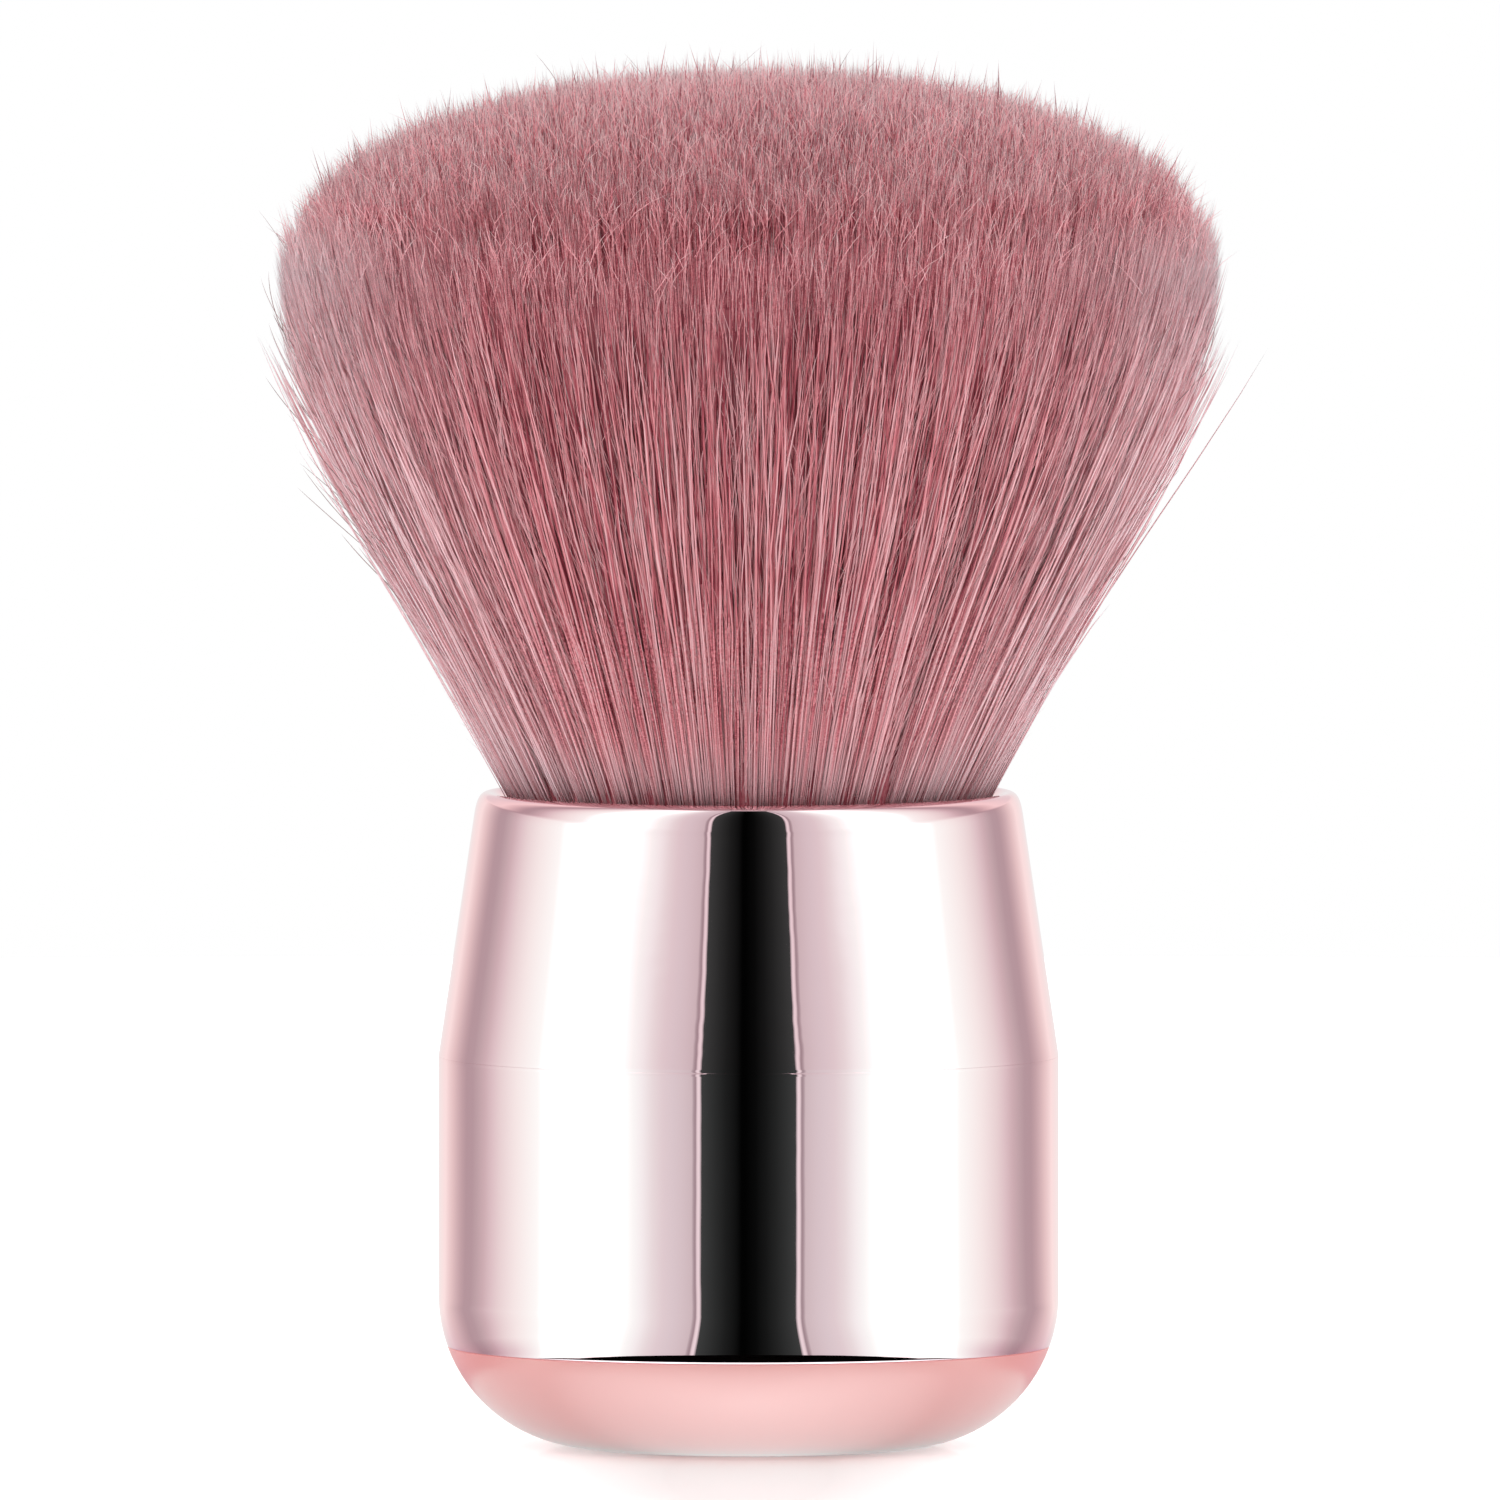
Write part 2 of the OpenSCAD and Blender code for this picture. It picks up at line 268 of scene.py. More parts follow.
# %% [markdown]
# ## The collar's section
# The collar is a slight cone that ends in a rolled lip. The lip's shoulder is a smooth curve through
# four points, because a plain quarter circle would show a hard start in the reflections. From the
# lip's top the section rolls in over a small arc and runs down the inside.

# %% Collar
CONE = (SHELL_R - 15.7) / (37.0 - JOINT_H)
SHOULDER = [(15.848, 36.0), (15.72, 36.88), (15.62, 37.7), (15.0, 37.7)]
SHOULDER_STEPS = 16
LIP_ROLL = 0.7

collar_section = [
    (SHELL_R - EDGE, JOINT_H), (SHELL_R - EDGE * 0.3, JOINT_H + EDGE * 0.3),
    (SHELL_R - EDGE * CONE, JOINT_H + EDGE)]
collar_section += [(SHELL_R - (z - JOINT_H) * CONE, z) for z in (22.7, 27, 31, 35, 35.85)]
for i in range(SHOULDER_STEPS + 1):
    t = i / SHOULDER_STEPS
    shares = ((1 - t) ** 3, 3 * (1 - t) ** 2 * t, 3 * (1 - t) * t * t, t ** 3)
    collar_section.append(tuple(sum(s * point[k] for s, point in zip(shares, SHOULDER)) for k in (0, 1)))
collar_section += arc((15.0, 37.0), LIP_ROLL, 90, 180, 8)[1:]
collar_section += [(14.3, 35.6), (15.104, 34.2), (16.839, JOINT_H)]
turn_ring("collar_plated", collar_section, plating, "collar")

# %% [markdown]
# ## The base cap
# The cap under the handle is moulded in salmon pink plastic, which leaves a polished mould with a soft
# gloss. Its shape in the construction model is right, so it keeps it and only gets a finish: a plain
# plastic that reflects well, two close pinks that drift into each other as pigment does, and a grain
# so fine that it only softens what the cap reflects.

# %% Base cap finish
salmon, tree, shader = new_material("salmon_plastic", IOR=1.7, Specular_IOR_Level=1.0)
pigment = pattern(tree, "ShaderNodeTexNoise", 90, Detail=2.0)
grain = pattern(tree, "ShaderNodeTexNoise", 2600, Detail=2.0)
vary(tree, shader, pigment, colours=[(0.35, (0.83, 0.305, 0.292)), (0.65, (0.85, 0.323, 0.310))])
vary(tree, shader, grain, roughness=(0.27, 0.31), bump=0.002)
dress(nodes["base_cap"], salmon)

# %% [markdown]
# ## What the handle hides
# Six more pieces sit inside the handle. Nobody sees them in the photograph, but a reusable part is
# taken apart and looked into, so each gets the finish that such a piece has.
#
# ### The weight
# A steel slug is turned on a lathe, which leaves fine rings round its axis. A wave texture in rings
# draws them as relief and as bands of roughness, and a slow noise gives bare steel its cloudy grey.

# %% Turned steel weight
steel, tree, shader = new_material("turned_steel", Metallic=1.0)
rings = pattern(tree, "ShaderNodeTexWave", 1250, wave_type="RINGS", rings_direction="Z", Distortion=0.4)
cloudy = pattern(tree, "ShaderNodeTexNoise", 500, Detail=4.0)
vary(tree, shader, rings, roughness=(0.2, 0.34), bump=0.25, depth=0.00003)
vary(tree, shader, cloudy, colours=[(0.3, (0.42, 0.42, 0.43)), (0.7, (0.6, 0.6, 0.61))])
dress(nodes["weight"], steel)

# %% [markdown]
# ### The pad
# The disc that keeps the weight from rattling is punched from black foam. A cell texture makes its
# open pores, which are deeper in the middle and darker there, as painted shade.

# %% Foam pad
foam, tree, shader = new_material("black_foam", Specular_IOR_Level=0.2)
pores_and_painted_shade = pattern(tree, "ShaderNodeTexVoronoi", 2400)
vary(tree, shader, pores_and_painted_shade, colours=[(0.0, (0.012, 0.012, 0.014)), (0.5, (0.055, 0.055, 0.06))],
     roughness=(0.95, 0.8), bump=0.8, depth=0.00015)
dress(nodes["weight_pad"], foam)

# %% [markdown]
# ### The core
# The core is moulded in undyed plastic. Its mould isn't polished, because nobody sees it, so it has a
# fine even grain and a faint cloudiness.

# %% Moulded core
moulded, tree, shader = new_material("moulded_plastic", Specular_IOR_Level=0.4)
cloudy = pattern(tree, "ShaderNodeTexNoise", 110, Detail=3.0)
grain = pattern(tree, "ShaderNodeTexNoise", 5000, Detail=2.0)
vary(tree, shader, cloudy, colours=[(0.35, (0.66, 0.61, 0.58)), (0.65, (0.72, 0.68, 0.65))])
vary(tree, shader, grain, roughness=(0.42, 0.6), bump=0.08)
dress(nodes["inner_core"], moulded)

# %% [markdown]
# ### The cup
# The cup is drawn from thin aluminium sheet, and drawing leaves lines along the pull. The noise is
# squeezed across the axis and stretched along it, so that it turns into such lines.

# %% Drawn cup
drawn, tree, shader = new_material("drawn_aluminium", Metallic=1.0)
lines = pattern(tree, "ShaderNodeTexNoise", 1.0, stretch=(3500, 3500, 60), Detail=3.0)
vary(tree, shader, lines, colours=[(0.3, (0.68, 0.69, 0.71)), (0.7, (0.80, 0.81, 0.83))],
     roughness=(0.22, 0.4), bump=0.1, depth=0.00005)
dress(nodes["hair_cup"], drawn)

# %% [markdown]
# ### The glue
# Glue sets to a clear amber with clouds and small bubbles under a glossy skin. The skin is the shader's
# own coat, and the bubbles are a weak cell relief.

# %% Cured glue
resin, tree, shader = new_material("amber_resin", Coat_Weight=0.4, Coat_Roughness=0.15)
clouds = pattern(tree, "ShaderNodeTexNoise", 220, Detail=4.0)
bubbles = pattern(tree, "ShaderNodeTexVoronoi", 1500)
vary(tree, shader, clouds, roughness=(0.25, 0.4),
     colours=[(0.3, (0.46, 0.31, 0.13)), (0.7, (0.68, 0.52, 0.28))])
vary(tree, shader, bubbles, bump=0.3)
dress(nodes["glue_plug"], resin)

# %% [markdown]
# ### The thread
# The thread round the roots is twisted from thinner yarns. Slanting bands stand for the twist, and a
# little sheen for the fuzz that stands off it.

# %% Twisted thread
thread, tree, shader = new_material("twisted_thread", Sheen_Weight=0.3, Sheen_Roughness=0.4)
twist = pattern(tree, "ShaderNodeTexWave", 520, wave_type="BANDS", bands_direction="DIAGONAL",
                Distortion=1.0, Detail=2.0)
vary(tree, shader, twist, colours=[(0.2, (0.60, 0.55, 0.50)), (0.8, (0.88, 0.84, 0.79))],
     roughness=(0.85, 0.65), bump=0.6)
dress(nodes["knot_thread"], thread)

# %% [markdown]
# ## How the bristles flow
# Every bristle starts in the cup under the lip, leans out with the flare, bends upright and ends on
# the trimmed dome. So one curve, the outline of the head, is enough: a bristle that starts at 80% of
# the root's radius stays at 80% of the outline all the way up. Heights and radii are in millimetres.
#
# The flank is a straight cone from the lip up to the bend, and then an arc of a circle that is tangent
# to it. The dome is a flattened curve over that. They follow the photograph's outline, and the same
# numbers were used for the construction model.

# %% The outline and the dome
WIDE_H, WIDE_R, MOUTH_H, MOUTH_R = 67.8, 27.3, 37.7, 14.2
BEND_R, BEND_H, LEAN = 24.6, 56.0, 0.545
CROWN_H, CROWN_POWER = 12.0, 2.15


def outline(z):
    bend = WIDE_R - BEND_R + np.sqrt(np.maximum(BEND_R ** 2 - np.maximum(WIDE_H - z, 0) ** 2, 0))
    return np.where(z < BEND_H, MOUTH_R + LEAN * (z - MOUTH_H), np.where(z < WIDE_H, bend, WIDE_R))


def dome(share):
    return WIDE_H + CROWN_H * np.maximum(1 - np.abs(share) ** CROWN_POWER, 0) ** (1 / CROWN_POWER)


for z in (38, 47, 56, 62, 68):
    print("outline at", z, "is", round(float(outline(np.array(float(z)))), 2))

# %% [markdown]
# ## The fan and the trim
# Bristles are stiff. Those at the edge don't follow the outline all the way round: they fan out a
# little straighter than it and are cut off where they cross it. So two curves are needed, the fan that
# bristles lie along and the height at which each of them is trimmed. On the real brush this is why
# tips end along the shoulder as well as on the dome. The trim isn't quite level either: it stands a
# little higher on the right.

# %% The fan and the trimmed height
FAN_BEND_H, FAN_EASE, FULL_FAN_H = 50.0, 0.00784, 64.2
TRIM_SLANT = 0.15


def fan(z):
    past = np.maximum(z - FAN_BEND_H, 0)
    return MOUTH_R + LEAN * (z - MOUTH_H) - FAN_EASE * past ** 2


shoulder_z = np.linspace(FULL_FAN_H, WIDE_H, 40)
dome_share = np.cos(np.linspace(0, np.pi / 2, 200))[1:]
trim_z = np.concatenate([shoulder_z, dome(dome_share)])
trim_share = np.concatenate([outline(shoulder_z), WIDE_R * dome_share]) / fan(trim_z)


def trimmed_height(share, turn=0.0):
    return np.interp(share, trim_share[::-1], trim_z[::-1]) + TRIM_SLANT * share * np.sin(turn)


for share in (0.5, 0.95):
    print("a bristle at share", share, "ends at", round(float(trimmed_height(share)), 1))

# %% [markdown]
# ## The dark heart of the head
# Between thousands of fibres the eye meets more fibres, never a hole. A closed form a little inside
# the outline stands for them, and its dark colour is painted shade. It is drawn from a disc at the
# bottom of the roots: each step extrudes the top face and scales it, as a potter raises a pot, and the
# last ring is merged to a point. It has the groove that the knot thread lies in, so it fills what the
# construction model's roots fill.

# %% Raise a turned form
def raise_form(name, profile, sides=160):
    clear_selection()
    r, z = profile[0]
    bpy.ops.mesh.primitive_circle_add(
        vertices=sides, radius=r * MM, fill_type="NGON", location=(0, 0, z * MM))
    piece = bpy.context.object
    piece.name = name
    bpy.ops.object.transform_apply(location=True, rotation=True, scale=True)
    bpy.ops.object.mode_set(mode="EDIT")
    bpy.ops.mesh.select_mode(type="FACE")
    bpy.ops.mesh.select_all(action="SELECT")
    for r_next, z_next in profile[1:]:
        bpy.ops.mesh.extrude_region_move(TRANSFORM_OT_translate={"value": (0, 0, (z_next - z) * MM)})
        bpy.ops.transform.resize(value=(r_next / r, r_next / r, 1), center_override=(0, 0, z_next * MM))
        r, z = r_next, z_next
    bpy.ops.mesh.merge(type="CENTER")
    bpy.ops.mesh.select_all(action="SELECT")
    bpy.ops.mesh.normals_make_consistent(inside=False)
    bpy.ops.object.mode_set(mode="OBJECT")
    return piece


# %% The heart's profile
ROOT_R, GROOVE_R = 13.45, 12.7
INSET, LIP_INSET, UNDER = 1.9, 0.45, 2.9
DOME_SHARES = (0.985, 0.96, 0.93, 0.89, 0.84, 0.78, 0.7, 0.6, 0.5, 0.4, 0.3, 0.2, 0.1, 0.03)

profile = [(ROOT_R, 30.2), (ROOT_R, 32.1), (GROOVE_R, 32.1), (GROOVE_R, 34.5),
           (ROOT_R, 34.5), (ROOT_R, 36.4)]
for z in np.linspace(37.4, 66.5, 22):
    inset = LIP_INSET + (INSET - LIP_INSET) * min((z - 37.4) / 8, 1)
    profile.append((float(outline(np.array(z))) - inset, z))
for share in DOME_SHARES:
    profile.append(((WIDE_R - INSET) * share, float(dome(np.array(share))) - UNDER))
heart = raise_form("bristle_heart_painted_shade", profile)
bpy.ops.object.shade_smooth_by_angle(angle=math.radians(50))
print("heart", len(heart.data.polygons), "faces")

# %% [markdown]
# ## A combed surface
# The heart shows in the gaps between fibres, so it has to look combed the same way. Every point of it
# stores where it lies in the flow: its share of the outline's radius in two directions, and its height.
# Lines of equal share then run from the cup to the dome, as the bristles do. A UV map could do the
# same, but it would need a seam.

# %% Where each point of the heart lies in the flow
BRUSH_H = 80

points = np.empty(len(heart.data.vertices) * 3)
heart.data.vertices.foreach_get("co", points)
points = points.reshape(-1, 3) / MM
edge = outline(points[:, 2])
flow = np.stack([points[:, 0] / edge, points[:, 1] / edge, points[:, 2] / BRUSH_H], axis=1)
heart.data.attributes.new("flow", "FLOAT_VECTOR", "POINT").data.foreach_set("vector", flow.ravel())

# %% [markdown]
# ## Painted shade in the depth
# Between bristles it is darker and redder than on them, because light reaches there only after it has
# passed from fibre to fibre, and each time the dye takes some of it. The heart's colours are painted
# shade for that: a noise that is squeezed across the flow and stretched along it gives streaks of these
# deep shaded colours and a weak relief.

# %% Heart material, with painted shade
heart_painted_shade, tree, shader = new_material("bristle_heart_painted_shade", Roughness=0.6, Specular_IOR_Level=0.3)
flow = add_node(tree, "ShaderNodeAttribute", attribute_name="flow")
comb = add_node(tree, "ShaderNodeMapping")
comb.inputs["Scale"].default_value = (130, 130, 5)
streak = add_node(tree, "ShaderNodeTexNoise", Scale=1.0, Detail=5.0, Roughness=0.7)
tree.links.new(flow.outputs["Vector"], comb.inputs["Vector"])
tree.links.new(comb.outputs[0], streak.inputs["Vector"])
vary(tree, shader, streak.outputs[0], bump=0.5, depth=0.0002,
     colours=[(0.32, (0.24, 0.035, 0.055)), (0.5, (0.44, 0.10, 0.13)), (0.68, (0.62, 0.22, 0.25))])
dress(heart, heart_painted_shade)
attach(heart, "root")

# %% [markdown]
# ## One fibre
# A synthetic fibre is a thin filament that tapers to a soft point. One is modelled: a small
# triangle is extruded and narrowed step by step, and its last ring is merged to a point. It is one
# unit long and about one unit wide, so that its copies can be stretched along any path. Blender's own
# hair could grow faster, but it is no mesh, and the finished part has to be one. Tens of thousands of
# copies follow, so a fibre has only a few faces.

# %% Model a fibre
LEAST_WIDTH = 0.05


def model_fibre(name, steps):
    clear_selection()
    bpy.ops.mesh.primitive_circle_add(
        vertices=3, radius=steps[0][1] / 2, fill_type="NGON", location=(0, 0, 0))
    piece = bpy.context.object
    piece.name = name
    bpy.ops.object.mode_set(mode="EDIT")
    bpy.ops.mesh.select_mode(type="FACE")
    bpy.ops.mesh.select_all(action="SELECT")
    at_z, width = steps[0]
    for next_z, next_width in steps[1:]:
        bpy.ops.mesh.extrude_region_move(TRANSFORM_OT_translate={"value": (0, 0, next_z - at_z)})
        ratio = max(next_width, LEAST_WIDTH) / width
        bpy.ops.transform.resize(value=(ratio, ratio, 1), center_override=(0, 0, next_z))
        at_z, width = next_z, max(next_width, LEAST_WIDTH)
    bpy.ops.mesh.merge(type="CENTER")
    bpy.ops.mesh.select_all(action="SELECT")
    bpy.ops.mesh.normals_make_consistent(inside=False)
    bpy.ops.object.mode_set(mode="OBJECT")
    mesh = piece.data
    points = np.array([v.co[:] for v in mesh.vertices])
    faces = [list(f.vertices) for f in mesh.polygons]
    bpy.data.objects.remove(piece)
    bpy.data.meshes.remove(mesh)
    print(name, len(points), "points", sum(len(f) - 2 for f in faces), "triangles")
    return points, faces


LONG_FIBRE = model_fibre(
    "long_fibre", [(0, 0.6), (0.22, 0.8), (0.42, 1.0), (0.6, 0.95), (0.76, 0.8), (0.9, 0.5), (1, 0)])
SHORT_FIBRE = model_fibre("short_fibre", [(0, 1.0), (0.35, 0.95), (0.7, 0.6), (1, 0)])

# %% [markdown]
# ## Which way the head faces
# A thin fibre catches light on its own narrow sides, and tens of thousands of them would glitter like
# sand, while real bristles pass the light on to each other and look like one soft body. The outline
# and the dome say how that body faces at any point, and each fibre will store it. Just over the lip
# the body is taken to face level instead of down, because the lip throws light up to it.

# %% Which way the whole head faces at a point
LEVEL_H = 38.5


def mass_normal(spots):
    r = np.maximum(np.hypot(spots[:, 0], spots[:, 1]), 1e-6)
    z = spots[:, 2]
    under = WIDE_H - np.clip(z, BEND_H, WIDE_H)
    bent = np.where(z > BEND_H, np.sqrt(BEND_R ** 2 - under ** 2), 1.0)
    out = np.where(z > WIDE_H, r / WIDE_R ** 2, bent)
    facing_down = LEAN * np.clip((z - LEVEL_H) / 4, -0.8, 1)
    up = np.where(z > WIDE_H, (z - WIDE_H) / CROWN_H ** 2, np.where(z > BEND_H, -under, -facing_down))
    normal = np.stack([out * spots[:, 0] / r, out * spots[:, 1] / r, up], axis=1)
    return normal / np.linalg.norm(normal, axis=1, keepdims=True)

# %% [markdown]
# ## Painted light and shade by height
# The photograph's bristles are lightest just over the lip and darkest round the shoulder, where many
# of them end and shade each other. This helper paints that light and shade into each fibre's own tone:
# painted light low on the flank and just over the lip, and painted shade round the shoulder and dome.

# %% Painted light and shade for a height
SHOULDER_HEIGHTS = [66.5, 69, 73, 75, 78, 79.5]
SHOULDER_PAINTED_SHADE = [0, 0.09, 0.15, 0.25, 0.23, 0.05]


def painted_light_by_height(z):
    painted_light_low_down = 0.2 * np.clip((47 - z) / 9, 0, 1)
    painted_light_at_lip = 0.35 * np.clip((41 - z) / 3, 0, 1)
    return painted_light_low_down + painted_light_at_lip - np.interp(z, SHOULDER_HEIGHTS, SHOULDER_PAINTED_SHADE)

# %% [markdown]
# ## Growing copies
# A path is a row of points from root to tip, one for each ring of the fibre. The helper carries all
# the rings of all the fibres to their paths at once and makes one mesh of them. On every point it
# stores what the material reads: the fibre's tone there, with the painted light and shade for its
# height, how far away its tip is, its height, and which way the head as a whole faces.

# %% Grow fibres along paths
TIP_SPAN = 10
head = [heart]


def grow(name, fibre, paths, widths, tones, finish):
    points, faces = fibre
    rings, ring_of = np.unique(np.round(points[:, 2], 4), return_inverse=True)
    along = np.gradient(paths, axis=1)
    along /= np.linalg.norm(along, axis=2, keepdims=True)
    across = np.cross(along, paths * (1, 1, 0))
    across /= np.maximum(np.linalg.norm(across, axis=2, keepdims=True), 1e-9)
    depth = np.cross(across, along)
    twist = np.random.default_rng(len(paths)).uniform(0, 2.1, len(paths))[:, None]
    side = (points[:, 0] * np.cos(twist) - points[:, 1] * np.sin(twist)) * widths[:, None]
    front = (points[:, 0] * np.sin(twist) + points[:, 1] * np.cos(twist)) * widths[:, None]
    spots = paths[:, ring_of] + across[:, ring_of] * side[..., None] + depth[:, ring_of] * front[..., None]

    count, each = len(paths), len(points)
    loops = np.array([v for f in faces for v in f])
    starts = np.concatenate([[0], np.cumsum([len(f) for f in faces])[:-1]])
    shift = np.arange(count)[:, None]
    mesh = bpy.data.meshes.new(name)
    mesh.vertices.add(count * each)
    mesh.vertices.foreach_set("co", (spots * MM).ravel())
    mesh.loops.add(count * len(loops))
    mesh.loops.foreach_set("vertex_index", (loops + shift * each).ravel().astype(np.int32))
    mesh.polygons.add(count * len(faces))
    mesh.polygons.foreach_set("loop_start", (starts + shift * len(loops)).ravel().astype(np.int32))
    mesh.polygons.foreach_set("use_smooth", np.ones(count * len(faces), dtype=bool))
    mesh.update(calc_edges=True)

    height = spots[..., 2]
    length = np.linalg.norm(paths[:, -1] - paths[:, 0], axis=1)
    tip_away = (1 - rings[ring_of]) * length[:, None] / TIP_SPAN
    # The tone stored here includes the painted light and shade by height.
    strand = np.stack([tones[:, None] + painted_light_by_height(height), tip_away, height / BRUSH_H], axis=2)
    for key, values in (("strand", strand), ("lie", mass_normal(spots.reshape(-1, 3)))):
        mesh.attributes.new(key, "FLOAT_VECTOR", "POINT").data.foreach_set("vector", values.ravel())
    piece = bpy.data.objects.new(name, mesh)
    bpy.context.scene.collection.objects.link(piece)
    dress(piece, finish)
    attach(piece, "root")
    head.append(piece)
    print(name, count, "fibres", count * sum(len(f) - 2 for f in faces), "triangles")

# %% [markdown]
# ## The colour of a bristle
# The bristles are dyed synthetic filament, each a little lighter or darker than its neighbours. A ramp
# turns the stored tone into a colour from deep rose to pale pink. Painted light and shade also run along
# a fibre in short lengths, because it is never quite straight, and over the head in slow clouds. Tips
# are painted nearly white: painted light for the light that passes through so thin a tip. A thin glossy
# coat gives the fine light lines that synthetic bristles have.

# %% Fibre material
fibre_finish, tree, shader = new_material(
    "pink_fibre", Roughness=0.6, Specular_IOR_Level=0.1, Coat_Weight=0.22, Coat_Roughness=0.16,
    Sheen_Weight=0.3, Sheen_Roughness=0.8, Sheen_Tint=(0.97, 0.94, 0.98, 1))
strand = add_node(tree, "ShaderNodeAttribute", attribute_name="strand")
part = add_node(tree, "ShaderNodeSeparateXYZ")
spot = add_node(tree, "ShaderNodeMapping")
spot.inputs["Scale"].default_value = (400, 0, 32)
painted_kink_shade = add_node(tree, "ShaderNodeTexNoise", Scale=1.0, Detail=1.0)
clouds = pattern(tree, "ShaderNodeTexNoise", 75, Detail=1.0)
tree.links.new(strand.outputs["Vector"], part.inputs[0])
tree.links.new(strand.outputs["Vector"], spot.inputs["Vector"])
tree.links.new(spot.outputs[0], painted_kink_shade.inputs["Vector"])
# Painted light and shade: kinks along each fibre and slow clouds over the head.
painted_light_and_shade = add_maths(tree, "ADD", add_span(tree, painted_kink_shade.outputs[0], 0.25, 0.75, -0.35, 0.35),
                   add_span(tree, clouds, 0.3, 0.7, -0.1, 0.1))
tint = add_ramp(tree, add_maths(tree, "ADD", part.outputs["X"], painted_light_and_shade), [
    (0.0, (0.34, 0.05, 0.075)), (0.2, (0.55, 0.12, 0.155)), (0.45, (0.82, 0.25, 0.29)),
    (0.75, (0.97, 0.39, 0.43)), (1.0, (1.0, 0.53, 0.57))])
# Painted light: tips turn nearly white, where light would pass through them.
painted_tip_light = add_ramp(tree, part.outputs["Y"], [
    (0.0, grey(0.9)), (0.03, grey(0.62)), (0.08, grey(0.13)), (0.15, grey(0.02)), (0.25, grey(0.0))])
painted_pale_tips = add_node(tree, "ShaderNodeMix", data_type="RGBA")
painted_pale_tips.inputs[7].default_value = (1.0, 0.9, 0.9, 1)
tree.links.new(painted_tip_light, painted_pale_tips.inputs[0])
tree.links.new(tint, painted_pale_tips.inputs[6])
tree.links.new(painted_pale_tips.outputs[2], shader.inputs["Base Color"])

# %% [markdown]
# ## The head as one body
# The normal of each fibre is blended with the way the head faces, which the fibre has stored, so the
# head is shaded as one soft body with fibres on it.

# %% Shade a fibre partly as the head's own surface
MASS_SHARE = 0.4


def add_world_normal(tree, source):
    node = add_node(tree, "ShaderNodeVectorTransform", vector_type="NORMAL",
                    convert_from="OBJECT", convert_to="WORLD")
    tree.links.new(source, node.inputs[0])
    return node.outputs[0]


own = add_node(tree, "ShaderNodeNewGeometry")
lie = add_node(tree, "ShaderNodeAttribute", attribute_name="lie")
blend = add_node(tree, "ShaderNodeMix", data_type="VECTOR")
blend.inputs[0].default_value = MASS_SHARE
unit = add_node(tree, "ShaderNodeVectorMath", operation="NORMALIZE")
tree.links.new(own.outputs["Normal"], blend.inputs[4])
tree.links.new(add_world_normal(tree, lie.outputs["Vector"]), blend.inputs[5])
tree.links.new(blend.outputs[1], unit.inputs[0])
tree.links.new(unit.outputs["Vector"], shader.inputs["Normal"])

# %% [markdown]
# ## The glow at the edge
# Towards the head's edge, bristles are seen against the light and glow, which sheen gives: its weight
# grows where the head turns away from the eye. Three things shape it. The overhanging flank counts as
# upright, so that it isn't all edge when seen from above. On the dome the tips are seen end on, and
# they show less of it. Just over the lip, the plating throws light back between the bristles. A
# translucent shader could do all this more truly, but it is slow to render and few viewers know it.

# %% Sheen at the edge
facing = add_node(tree, "ShaderNodeSeparateXYZ")
upright = add_node(tree, "ShaderNodeCombineXYZ")
rim = add_node(tree, "ShaderNodeLayerWeight", Blend=0.5)
tree.links.new(lie.outputs["Vector"], facing.inputs[0])
tree.links.new(facing.outputs["X"], upright.inputs["X"])
tree.links.new(facing.outputs["Y"], upright.inputs["Y"])
tree.links.new(add_maths(tree, "MAXIMUM", facing.outputs["Z"], 0.0), upright.inputs["Z"])
tree.links.new(add_world_normal(tree, upright.outputs[0]), rim.inputs["Normal"])
at_edge = add_span(tree, rim.outputs["Facing"], 0.15, 0.58, 0.0, 1.0)
off_dome = add_span(tree, facing.outputs["Z"], 0.1, 0.6, 1.0, 0.1)
over_lip = add_span(tree, part.outputs["Z"], 38 / BRUSH_H, 41.5 / BRUSH_H, 0.7, 0.0)
glow = add_maths(tree, "ADD", add_maths(tree, "MULTIPLY", at_edge, off_dome), over_lip)
glow.node.use_clamp = True
tree.links.new(glow, shader.inputs["Sheen Weight"])

# %% [markdown]
# ## Single fibres
# A fibre that stands alone against a white background has light all round it, and it looks browner and
# darker than the mass does. So the few stray ones get a plain finish of their own, whose darker and
# browner colour is painted shade.

# %% Stray fibre material
stray_painted_shade, tree, shader = new_material("stray_fibre_painted_shade", Specular_IOR_Level=0.3)
vary(tree, shader, pattern(tree, "ShaderNodeTexNoise", 400, Detail=2.0), roughness=(0.5, 0.7),
     colours=[(0.35, (0.30, 0.17, 0.17)), (0.65, (0.46, 0.30, 0.30))])

# %% [markdown]
# ## Paths
# The helpers of this cell describe where fibres run. One gives the heights of a fibre's rings, from 0
# at the root to 1 at the tip. One makes a slow sway that grows from root to tip. The others turn a
# place in the fan, or a radius, into points: `turn` goes round from the camera's side. All chance
# comes from one seeded source, so that the brush is the same each time.

# %% Helpers for paths
FULL_TURN = 2 * np.pi
rng = np.random.default_rng(11)


def ring_heights(fibre):
    return np.unique(np.round(fibre[0][:, 2], 4))


def wander(count, rings, sizes):
    sway = np.zeros((count, len(rings)))
    for cycles, size in sizes:
        swing = size * rng.normal(size=(count, 1))
        start = rng.uniform(size=(count, 1))
        sway += swing * np.sin(FULL_TURN * (cycles * rings + start)) * rings ** 0.5
    return sway


def around(r, turn, z):
    return np.stack([r * np.sin(turn), -r * np.cos(turn), z], axis=2)


def along_fan(share, turn, z):
    return around(share * fan(z), turn, z)

# %% [markdown]
# ## The flank
# Thirty thousand long fibres make the side of the head. Brushed fibres cling together in locks, so they
# grow in three thousand clumps of ten that draw together towards their tips. Each follows the fan,
# wanders a little on its way, and ends near the trimmed height; some end much lower, and some stand a
# little proud of their neighbours and catch more light.

# %% Where the long fibres run
CLUMPS, PER_CLUMP = 3000, 10
LONG_ROOT_H = 36.2
LONG_INSET = 0.034

